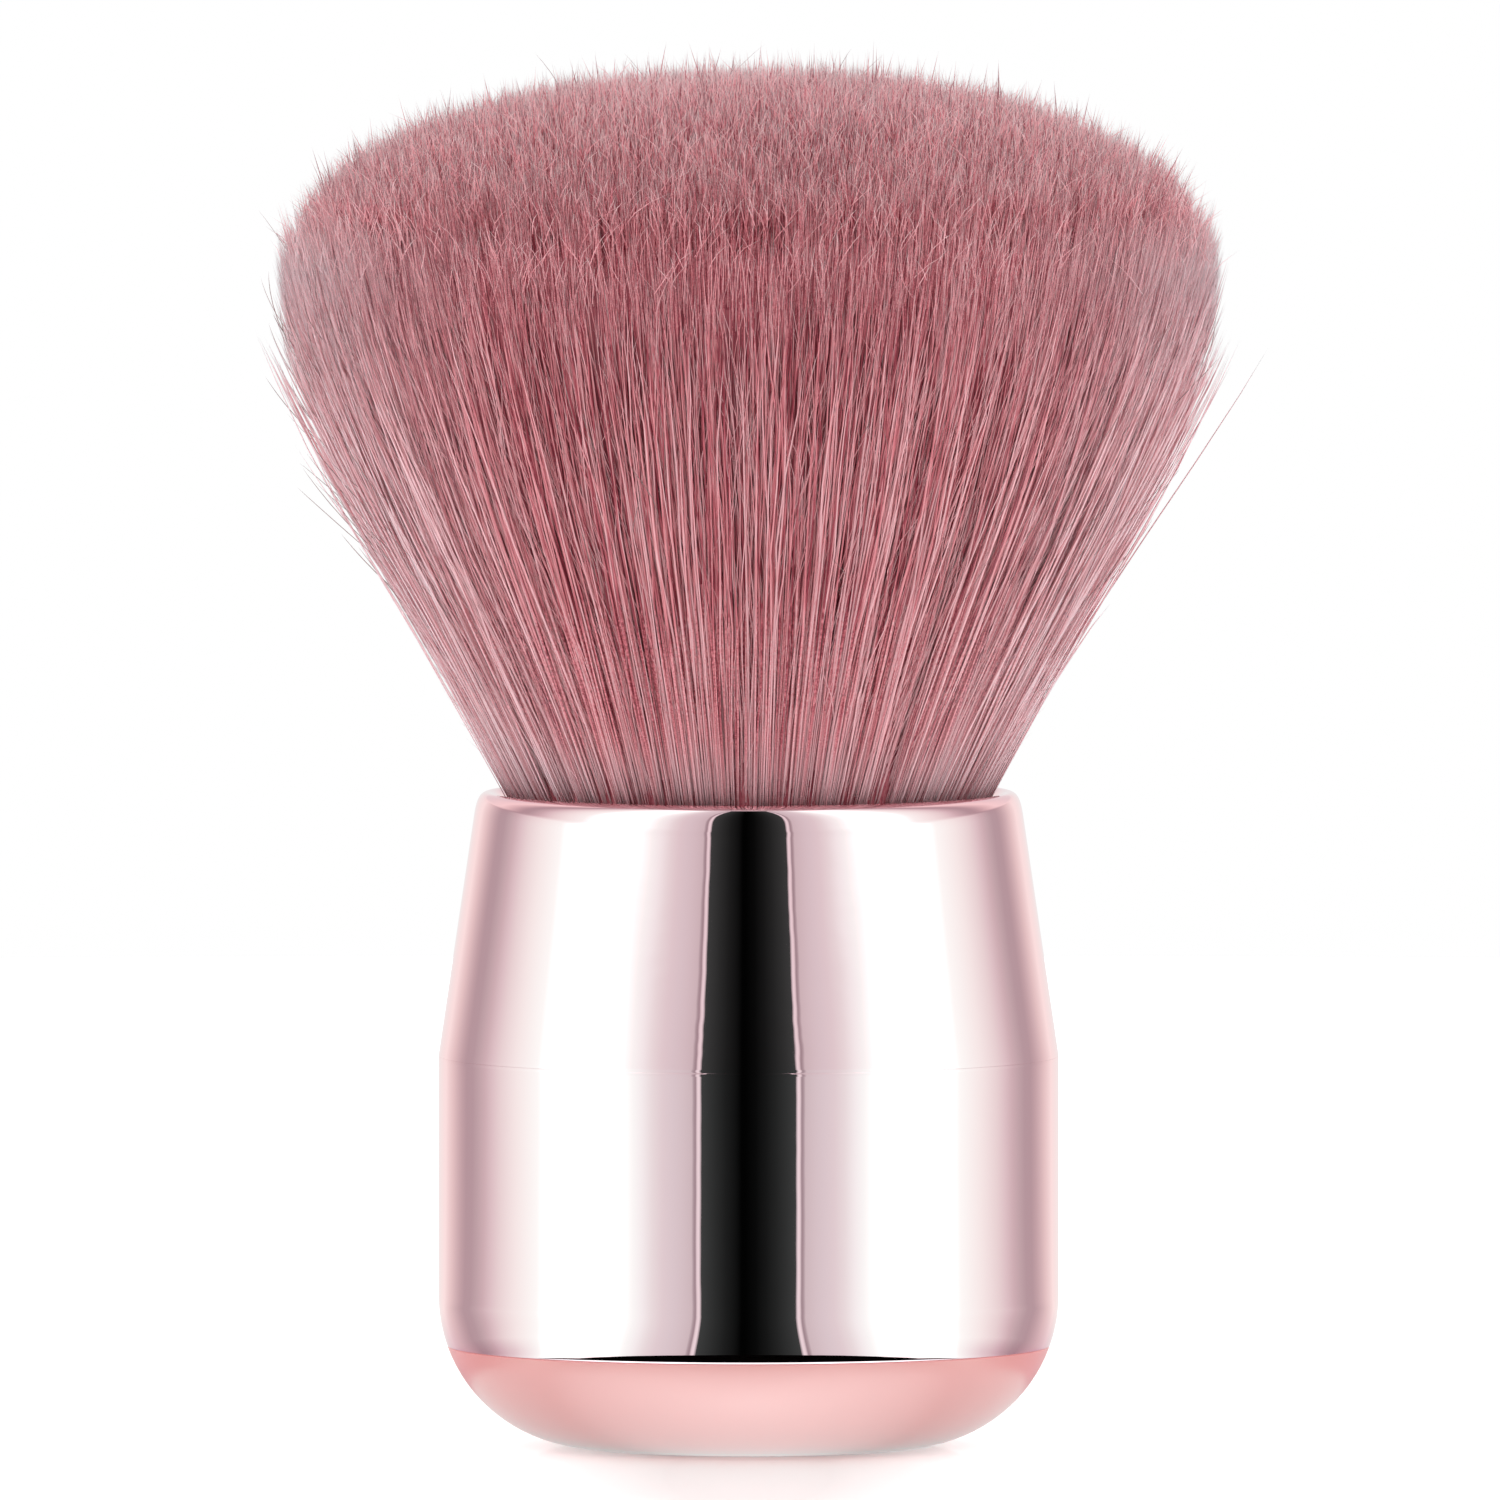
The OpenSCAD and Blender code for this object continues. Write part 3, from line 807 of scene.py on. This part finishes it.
count = CLUMPS * PER_CLUMP
clump = np.repeat(np.arange(CLUMPS), PER_CLUMP)
clump_turn = rng.uniform(0, FULL_TURN, CLUMPS)[clump]
clump_share = (1 - 0.25 * rng.uniform(0, 1, CLUMPS) ** 1.25)[clump]
spread_turn = rng.normal(0, 0.5, count) / WIDE_R
spread_share = rng.normal(0, 0.35, count) / WIDE_R
pinch = rng.uniform(0.0, 0.35, CLUMPS)[clump][:, None]
rings = ring_heights(LONG_FIBRE)
grip = 1 - pinch * np.clip(rings * 1.3, 0, 1) ** 1.5
turn = clump_turn[:, None] + spread_turn[:, None] * grip
turn += wander(count, rings, [(0.6, 0.013), (1.5, 0.006)])
turn += rng.normal(0, 0.003, turn.shape) * (rings > 0.1)
share = clump_share[:, None] + spread_share[:, None] * grip
share += wander(count, rings, [(0.6, 0.004), (1.5, 0.003)]) - LONG_INSET
proud = rng.exponential(0.026, count) * (rng.uniform(size=count) < 0.3)
share += proud[:, None] * rings ** 1.2

# %% [markdown]
# ## Their tips and tones
# The tips spread a little more than the rest of the fibre. Proud fibres of the outer layer get a lighter
# tone, which is painted light for the light they catch. All the long fibres together would be too large
# for one mesh, so the head is divided into eight sectors.

# %% Long fibres
SECTORS = 8

tip = trimmed_height(np.minimum(share[:, -1], 1), turn[:, -1]) + rng.normal(-0.6, 0.5, count)
tip -= np.minimum(rng.exponential(4.0, count), 18) * (rng.uniform(size=count) < 0.45)
z = LONG_ROOT_H + (tip[:, None] - LONG_ROOT_H) * rings
turn += rng.normal(0, 0.008, (count, 1)) * rings ** 5
share += np.abs(rng.normal(0, 0.006, (count, 1))) * rings ** 5
paths = along_fan(share, turn, z)
widths = rng.uniform(0.08, 0.165, count)
tones = 0.45 + 0.04 * rng.normal(size=CLUMPS)[clump] + 0.32 * rng.normal(size=count)
# Painted light: proud fibres of the outer layer get a lighter tone.
tones = np.clip(tones + 8 * proud * (share[:, 3] > 0.97), 0.05, 1)
for k in range(SECTORS):
    mine = (clump_turn >= FULL_TURN * k / SECTORS) & (clump_turn < FULL_TURN * (k + 1) / SECTORS)
    grow("bristles_side_%d" % (k + 1), LONG_FIBRE, paths[mine], widths[mine], tones[mine], fibre_finish)

# %% [markdown]
# ## Fibres on top of the flank
# A brush that has been shaken out has some fibres that lie over the others at a slight slant. There are
# few of them and they are thin; their light tone is a painted highlight, and they cross the locks and
# break up their regular lines.

# %% Loose fibres that lie over the flank
MASS = 0.966

count = 1200
turn = rng.uniform(0, FULL_TURN, (count, 1)) + wander(count, rings, [(0.5, 0.03), (1.4, 0.012)])
low = rng.uniform(LONG_ROOT_H, BEND_H, count)
tip = np.minimum(low + rng.uniform(8, 22, count), rng.uniform(60, 67.5, count))
z = low[:, None] + (tip - low)[:, None] * rings
over = 0.2 + 8 * np.abs(wander(count, rings, [(0.6, 0.008), (1.5, 0.005)])) - 1.2 * (1 - rings) ** 4
paths = around(MASS * fan(z) + over, turn, z)
# Painted highlight: the loose fibres get a light tone.
widths, tones = rng.uniform(0.045, 0.07, count), rng.uniform(0.6, 1.0, count)
grow("bristles_loose", LONG_FIBRE, paths, widths, tones, fibre_finish)

# %% [markdown]
# ## Down
# Under a magnifier the side of the head has short light flecks all over, which are tips of fibres that
# end there, and the bends of fibres that bulge out. Nine thousand short hairs stand for them, and their
# light tone paints the highlights of these flecks. They also give the outline its soft edge.

# %% Fine down over the flank
count = 9000
rings = ring_heights(SHORT_FIBRE)
low = 37.5 + 30 * rng.uniform(0, 1, (count, 1)) ** 0.75
length = rng.uniform(2.0, 5.0, (count, 1))
turn = rng.uniform(0, FULL_TURN, (count, 1)) + rng.normal(0, 0.016, (count, 1)) * rings
turn += rng.normal(0, 0.010, (count, 1)) * rings ** 2
z = low + length * rings
rise = (0.35 + rng.uniform(0.0, 0.95, (count, 1))) * rings ** 1.3
paths = around(MASS * np.minimum(fan(z), outline(z)) - 0.35 + rise, turn, z)
# Painted highlight: the down gets a light tone.
widths, tones = rng.uniform(0.04, 0.06, count), rng.uniform(0.75, 1.0, count)
grow("bristles_down", SHORT_FIBRE, paths, widths, tones, fibre_finish)

# %% [markdown]
# ## The crown
# From above one sees only tips, so the middle of the head needs no long fibres: short ones that start a
# few millimetres under the dome look the same and cost a fraction. Their places are spread evenly over
# the disc, which takes the square root of an even random number, and their heights vary by about
# half a millimetre, as trimmed hair does.

# %% Crown fibres
QUARTERS = 4
CROWN_SHARE = 0.84

count = 33000
share = CROWN_SHARE * np.sqrt(rng.uniform(0, 1, count))
turn = rng.uniform(0, FULL_TURN, count)
tip = trimmed_height(share, turn) + rng.normal(-0.75, 0.45, count)
tip += rng.uniform(0, 1.0, count) * (rng.uniform(size=count) < 0.25)
length = rng.uniform(4.5, 6.5, count)
z = (tip - length)[:, None] + length[:, None] * rings
paths = along_fan(share[:, None], turn[:, None], z)
sway = rng.normal(0, 0.12, (2, count, 1)) * (length[:, None] * (rings - 0.3))
sway += rng.normal(0, 0.07, (2, count, 1)) * (length[:, None] * rings ** 2)
paths[..., 0] += sway[0]
paths[..., 1] += sway[1]
widths = rng.uniform(0.075, 0.13, count)
tones = np.clip(0.40 + 0.36 * rng.normal(size=count), 0.05, 1)
for k in range(QUARTERS):
    mine = (turn >= FULL_TURN * k / QUARTERS) & (turn < FULL_TURN * (k + 1) / QUARTERS)
    grow("bristles_crown_%d" % (k + 1), SHORT_FIBRE, paths[mine], widths[mine], tones[mine], fibre_finish)

# %% [markdown]
# ## Curled tips
# The finest tips don't stand straight: they curl over the trim and make the dome look soft. This helper
# gives their paths from a share, a turn, a length and a lean. It also gives those of the few stray
# fibres that stand out over the crown.

# %% Curled tips on the dome
def curled(fibre, share, turn, length, lean, over):
    count = len(share)
    rings = ring_heights(fibre)
    tip = trimmed_height(share, turn) + over
    z = (tip - length)[:, None] + length[:, None] * rings
    paths = along_fan(share[:, None], turn[:, None], z)
    swing = rng.normal(0, lean, (2, count, 1)) * length[:, None] * (rings - 0.5)
    swing += rng.normal(0, lean, (2, count, 1)) * length[:, None] * rings ** 2.5
    paths[..., 0] += swing[0]
    paths[..., 1] += swing[1]
    return paths


def dome_places(share, count, shortest, longest):
    return share, rng.uniform(0, FULL_TURN, count), rng.uniform(shortest, longest, count)


count = 6500
share, turn, length = dome_places(0.95 * np.sqrt(rng.uniform(0, 1, count)), count, 1.2, 2.6)
over = rng.normal(-0.3, 0.25, count)
# Painted highlight: the curled tips get a light tone.
widths, tones = rng.uniform(0.05, 0.075, count), rng.uniform(0.75, 1.0, count)
grow("bristles_curl", SHORT_FIBRE, curled(SHORT_FIBRE, share, turn, length, 0.3, over),
     widths, tones, fibre_finish)

count = 40
share, turn, length = dome_places(rng.uniform(0.1, 0.95, count), count, 4, 6)
over = rng.gamma(2.0, 0.22, count)
widths = rng.uniform(0.03, 0.045, count)
grow("bristles_stray_crown", LONG_FIBRE, curled(LONG_FIBRE, share, turn, length, 0.2, over),
     widths, np.zeros(count), stray_painted_shade)

# %% [markdown]
# ## Stray fibres
# Some two hundred fibres stick out of the flank, a third of them near the left edge, as in the
# photograph. Each starts a little inside the outline, tilts outwards and bends back.

# %% Stray fibres on the flank
LEFT_EDGE = -1.6

count = 210
rings = ring_heights(LONG_FIBRE)
at_left = rng.uniform(size=count) < 0.35
turn = np.where(at_left, rng.normal(LEFT_EDGE, 0.35, count), rng.uniform(0, FULL_TURN, count))
turn = turn[:, None] + wander(count, rings, [(0.5, 0.02)])
low = rng.uniform(49, 66, count)[:, None]
along = rng.uniform(2.0, 5.5, (count, 1)) * rings
tilt = rng.uniform(0.1, 0.55, (count, 1))
angle = tilt * (1 - rng.uniform(-0.1, 0.45, (count, 1)) * rings)
z = low - 1 + along * np.cos(angle)
r = np.minimum(fan(low), outline(low)) - 0.9
r = r + LEAN * np.clip((WIDE_H - z) / 10, 0, 1) * along + along * np.sin(angle)
widths = rng.uniform(0.035, 0.055, count)
grow("bristles_stray", LONG_FIBRE, around(r, turn, z), widths, np.zeros(count), stray_painted_shade)

for piece in head:
    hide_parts("bristles")
print("head", sum(len(f.vertices) - 2 for p in head for f in p.data.polygons), "triangles")

# %% [markdown]
# ## Studio
# A mirror has no look of its own: it shows the room. So the room is built as a photographer builds it
# for a shiny product, a tall round tent of white cloth with a dark opening where the camera stands.
# The brush is lit by it from all sides. Only reflections and light see the tent; the camera looks
# through it.

# %% Light tent
TENT_R = 0.5
TENT_LOW, TENT_TOP = -0.3, 0.9


def add_disc(name, radius, sides, location):
    clear_selection()
    bpy.ops.mesh.primitive_circle_add(vertices=sides, radius=radius, fill_type="NGON", location=location)
    piece = bpy.context.object
    piece.name = name
    return piece


clear_selection()
bpy.ops.mesh.primitive_cylinder_add(
    vertices=96, radius=TENT_R, depth=TENT_TOP - TENT_LOW, end_fill_type="NOTHING",
    location=(0, 0, (TENT_TOP + TENT_LOW) / 2))
tent = bpy.context.object
tent.name = "light_tent"
bpy.ops.object.transform_apply(location=True, rotation=True, scale=True)
bpy.ops.object.mode_set(mode="EDIT")
bpy.ops.mesh.select_all(action="SELECT")
bpy.ops.mesh.flip_normals()
bpy.ops.object.mode_set(mode="OBJECT")
tent.visible_camera = False

# %% [markdown]
# ## The tent's light
# What the handle shows at a place depends on one angle only, how far round from the camera it looks,
# and SIDE_LIGHT gives the light for each such angle, the same on both sides. OPENING is the dark gap
# at the camera: two panels that meet a little left of the middle. The levels of both were worked out
# from the photograph: its brightness was read at places along the handle and divided by what the
# plating reflects, and they were then corrected by comparing renders with it. Green and blue are a
# little stronger than red in the bright parts, because the rose metal takes some of them away, and the
# bands come out white. Matt surfaces don't show bands, so they get SOFT_LIGHT instead, an even light
# that grows to the sides and the back. Separate lamps and cards could do the same, but each would have
# to be moved to move one band.

# %% Levels of light, by degrees round from the camera
SIDE_LIGHT = [
    (17.5, grey(0.05)), (17.8, (0.95, 1.1, 1.1)), (19.0, (0.85, 0.95, 0.95)),
    (19.4, (0.36, 0.36, 0.38)), (20.2, (0.36, 0.36, 0.38)), (20.8, (0.66, 0.74, 0.74)),
    (25, (0.72, 0.83, 0.83)), (28, (0.75, 0.88, 0.88)), (32, (0.80, 0.94, 0.93)),
    (36, (0.87, 1.09, 1.05)), (40, (0.98, 1.31, 1.25)), (44, (1.05, 1.49, 1.39)),
    (50, (1.5, 1.85, 1.75)), (80, (1.5, 1.85, 1.75)), (85, (1.07, 1.50, 1.39)),
    (92, (1.02, 1.34, 1.25)), (96, (0.99, 1.25, 1.17)), (100, (0.94, 1.14, 1.08)),
    (105, (0.87, 1.0, 0.96)), (110, (0.78, 0.82, 0.82)), (115, (0.66, 0.65, 0.66)),
    (120, (0.56, 0.55, 0.56)), (124, (0.50, 0.47, 0.49)), (129, (0.50, 0.46, 0.48)),
    (133, (0.58, 0.53, 0.54)), (137, (0.68, 0.63, 0.63)), (142, (0.82, 0.76, 0.74)),
    (152, (1.02, 0.99, 0.95)), (180, (0.87, 0.86, 0.86))]
OPENING_EDGE = 17.5
OPENING_TINT = (0.67, 1.0, 0.94)
OPENING = [
    (-17.5, 0.072), (-12.1, 0.038), (-8.4, 0.0195), (-4.7, 0.0083), (-2.6, 0.0012), (-1.2, 0.0012),
    (2.7, 0.0046), (6.4, 0.0127), (10.1, 0.0267), (13.9, 0.047), (17.5, 0.070)]
SOFT_LIGHT = [(0, 0.88), (36, 1.12), (72, 1.75), (108, 2.0), (180, 2.0)]
PEAK = 2.0

# %% [markdown]
# ## Finding the angle
# On the tent the angle is simply the direction from the brush's axis. The collar is a cone and its lip
# is round, so they look up at the tent and show its bands wider apart; a squeeze that grows with height
# brings them back. The floor's card gets the same light for the handle's round corner, which looks down
# at it. Close to the foot the angle is measured from a point in front of the axis and swings outwards,
# so that the bands run on round the corner without a step.

# %% A light that depends on the direction
FOCUS = 8.925 * MM
FLAT_OUT = 180
SQUEEZE = ((0.0, 1.0), (0.136, 1.0), (0.142, 1.067), (0.156, 1.135),
           (0.23, 1.15), (0.33, 1.2), (0.47, 1.32), (0.8, 1.6))
UPPER_TINT = (0.98, 0.92, 0.93, 1)
# How near the foot, then the degrees, over which each of two tints comes in on the card.
CARD_TINTS = (
    ((0, 0.7), (125, 150), (0.74, 0.64, 0.72, 1)),
    ((0.6, 0.85), (82, 100), (0.88, 0.80, 0.84, 1)))


def room_light(name, on_floor):
    material = bpy.data.materials.new(name)
    material.use_nodes = True
    tree = material.node_tree
    tree.nodes.clear()

    def maths(operation, first, second=None):
        return add_maths(tree, operation, first, second)

    def span(value, low, high, to_low=0.0, to_high=1.0):
        return add_span(tree, value, low, high, to_low, to_high)

    def mixed(factor, first, second, **settings):
        node = add_node(tree, "ShaderNodeMix", data_type="RGBA", **settings)
        tree.links.new(factor, node.inputs[0])
        tree.links.new(first, node.inputs[6])
        if isinstance(second, tuple):
            node.inputs[7].default_value = second
        else:
            tree.links.new(second, node.inputs[7])
        return node.outputs[2]

    place = add_node(tree, "ShaderNodeTexCoord")
    split = add_node(tree, "ShaderNodeSeparateXYZ")
    tree.links.new(place.outputs["Object"], split.inputs[0])
    x, y, z = (split.outputs[k] for k in "XYZ")
    if on_floor:
        reach = maths("SQRT", maths("ADD", maths("MULTIPLY", x, x), maths("MULTIPLY", y, y)))
        close = span(maths("DIVIDE", 1.0, reach), 10, 40)
        behind = maths("MULTIPLY", maths("ADD", y, span(close, 0, 1, FOCUS, 0.5 * FOCUS)), -1.0)
        degrees = maths("MULTIPLY", maths("ARCTAN2", x, behind), 180 / math.pi)
        swing = maths("ADD", span(close, 0, 1, 0.0, 0.2), span(close, 0.6, 0.9, 0.0, 0.07))
        near = maths("MULTIPLY", swing, span(maths("ABSOLUTE", degrees), 30, 110))
        degrees = maths("MULTIPLY", degrees, maths("ADD", near, 1.0))
    else:
        turned = maths("ARCTAN2", x, maths("MULTIPLY", y, -1.0))
        factors = [(h / TENT_TOP, grey(k / 2)) for h, k in SQUEEZE]
        squeeze = add_ramp(tree, maths("DIVIDE", z, TENT_TOP), factors)
        degrees = maths("MULTIPLY", maths("MULTIPLY", turned, squeeze), 2 * 180 / math.pi)
    aside = maths("ABSOLUTE", degrees)
    part_round = maths("DIVIDE", aside, FLAT_OUT)

    sides = add_ramp(tree, part_round, [(d / FLAT_OUT, tuple(v / PEAK for v in c)) for d, c in SIDE_LIGHT])
    gap = add_ramp(tree, maths("ADD", maths("DIVIDE", degrees, 40), 0.5),
                   [(d / 40 + 0.5, tuple(v * t / PEAK for t in OPENING_TINT)) for d, v in OPENING])
    mirror = mixed(maths("LESS_THAN", aside, OPENING_EDGE), sides, gap)
    if on_floor:
        for nearness, turn, tint in CARD_TINTS:
            amount = maths("MULTIPLY", span(close, *nearness), span(aside, *turn))
            mirror = mixed(amount, mirror, tint, blend_type="MULTIPLY")
    mirror = mixed(span(z, 0.10, 0.15), mirror, UPPER_TINT, blend_type="MULTIPLY")
    even = add_ramp(tree, part_round, [(d / FLAT_OUT, grey(v / PEAK)) for d, v in SOFT_LIGHT])
    ray = add_node(tree, "ShaderNodeLightPath")
    glow = add_node(tree, "ShaderNodeEmission", Strength=PEAK)
    out = add_node(tree, "ShaderNodeOutputMaterial")
    tree.links.new(mixed(ray.outputs["Is Diffuse Ray"], mirror, even), glow.inputs["Color"])
    tree.links.new(glow.outputs[0], out.inputs["Surface"])
    return material


dress(tent, room_light("tent_light", False))

# %% [markdown]
# ## Light from above
# A weak even panel closes the tent. It lights the crown and keeps its colour from going dark.

# %% Overhead light
BLACK = (0, 0, 0, 1)

overhead = add_disc("overhead_light", TENT_R, 96, (0, 0, TENT_TOP))
bpy.ops.object.transform_apply(location=True, rotation=True, scale=True)
overhead.visible_camera = False
soft, tree, shader = new_material(
    "overhead_light", Base_Color=BLACK, Emission_Color=(1, 1, 1, 1), Emission_Strength=0.6)
dress(overhead, soft)

# %% [markdown]
# ## Floor
# The brush stands on a glossy white board, which shows a short soft reflection of the handle under it
# and a faint shadow. In the photograph the board is as white as the background away from the brush.
# More light on the brush would bleach it, so the board itself is lifted, and only for the camera, by a
# little glow that grows with the distance from the foot. The distance is measured in a stretched
# space, because the shadow and the reflection reach further to the front than to the sides.

# %% Floor
floor = add_disc("floor", TENT_R, 96, (0, 0, 0))
floor.visible_glossy = False
board = bpy.data.materials.new("white_board")
board.use_nodes = True
tree = board.node_tree
tree.nodes.clear()
out = add_node(tree, "ShaderNodeOutputMaterial")
matt = add_node(tree, "ShaderNodeBsdfDiffuse", Color=(0.85, 0.85, 0.85, 1))
gloss = add_node(tree, "ShaderNodeBsdfGlossy", Roughness=0.01, Color=(1, 1, 1, 1))
both = add_node(tree, "ShaderNodeMixShader", Fac=0.3)
lift = add_node(tree, "ShaderNodeEmission")
path = add_node(tree, "ShaderNodeLightPath")
place = add_node(tree, "ShaderNodeTexCoord")
front = add_node(tree, "ShaderNodeMapping")
front.inputs["Location"].default_value = (0, 0.0125, 0)
front.inputs["Scale"].default_value = (3.2, 0.5, 1)
reach = add_node(tree, "ShaderNodeVectorMath", operation="LENGTH")
total = add_node(tree, "ShaderNodeAddShader")
tree.links.new(place.outputs["Object"], front.inputs["Vector"])
tree.links.new(front.outputs[0], reach.inputs[0])
further = add_span(tree, reach.outputs["Value"], 0.015, 0.04, 0.13, 0.45)
tree.links.new(add_maths(tree, "MULTIPLY", path.outputs["Is Camera Ray"], further), lift.inputs["Strength"])
tree.links.new(matt.outputs[0], both.inputs[1])
tree.links.new(gloss.outputs[0], both.inputs[2])
tree.links.new(both.outputs[0], total.inputs[0])
tree.links.new(lift.outputs[0], total.inputs[1])
tree.links.new(total.outputs[0], out.inputs["Surface"])
dress(floor, board)

# %% [markdown]
# ## Cards
# The round corner of the handle and the cap look down at the floor close by, and there the photograph
# shows other bands than the tent gives. Three flat cards lie just under the floor, which reflections
# pass through: a bright one under the cap, a dark crescent in front of it, and a wide one that
# continues the tent's bands on the floor.

# %% Reflector cards under the floor, which only reflections see
def card(name, radius, away, drop, material):
    piece = add_disc(name, radius, 128, (0, away, drop))
    piece.visible_camera = piece.visible_diffuse = piece.visible_shadow = piece.visible_transmission = False
    dress(piece, material)
    return piece


near_white, tree, shader = new_material("near_white", Base_Color=BLACK, Emission_Color=(0.76, 1, 1, 1))
place = add_node(tree, "ShaderNodeTexCoord")
mapping = add_node(tree, "ShaderNodeMapping")
mapping.inputs["Location"].default_value = (0, 17 / 9, 0)
mapping.inputs["Scale"].default_value = (1 / 0.025, 1 / 0.009, 1)
ball = add_node(tree, "ShaderNodeTexGradient", gradient_type="SPHERICAL")
tree.links.new(place.outputs["Object"], mapping.inputs["Vector"])
tree.links.new(mapping.outputs[0], ball.inputs["Vector"])
tree.links.new(add_span(tree, ball.outputs["Fac"], 0, 1, 1.15, 3.4), shader.inputs["Emission Strength"])
black, tree, shader = new_material(
    "black_card", Base_Color=(0.002, 0.002, 0.002, 1), Roughness=1.0, Specular_IOR_Level=0.0)
card("near_card", 22.8 * MM, 0, -0.1 * MM, near_white)
crescent = card("crescent_card", 17.2 * MM, -9.6 * MM, -0.2 * MM, black)
crescent.scale = (1.19, 1, 1)
card("far_card", TENT_R, 0, -0.3 * MM, room_light("floor_light", True))

# %% [markdown]
# ## World
# Behind everything is plain white, at a strength of 1, so that it renders as white and adds no tint.
# The view transform is Standard, which shows a colour as it is written.

# %% World
world = bpy.data.worlds.new("studio")
bpy.context.scene.world = world
world.use_nodes = True
background = world.node_tree.nodes["Background"]
background.inputs["Color"].default_value = (1, 1, 1, 1)
background.inputs["Strength"].default_value = 1.0
bpy.context.scene.view_settings.view_transform = "Standard"
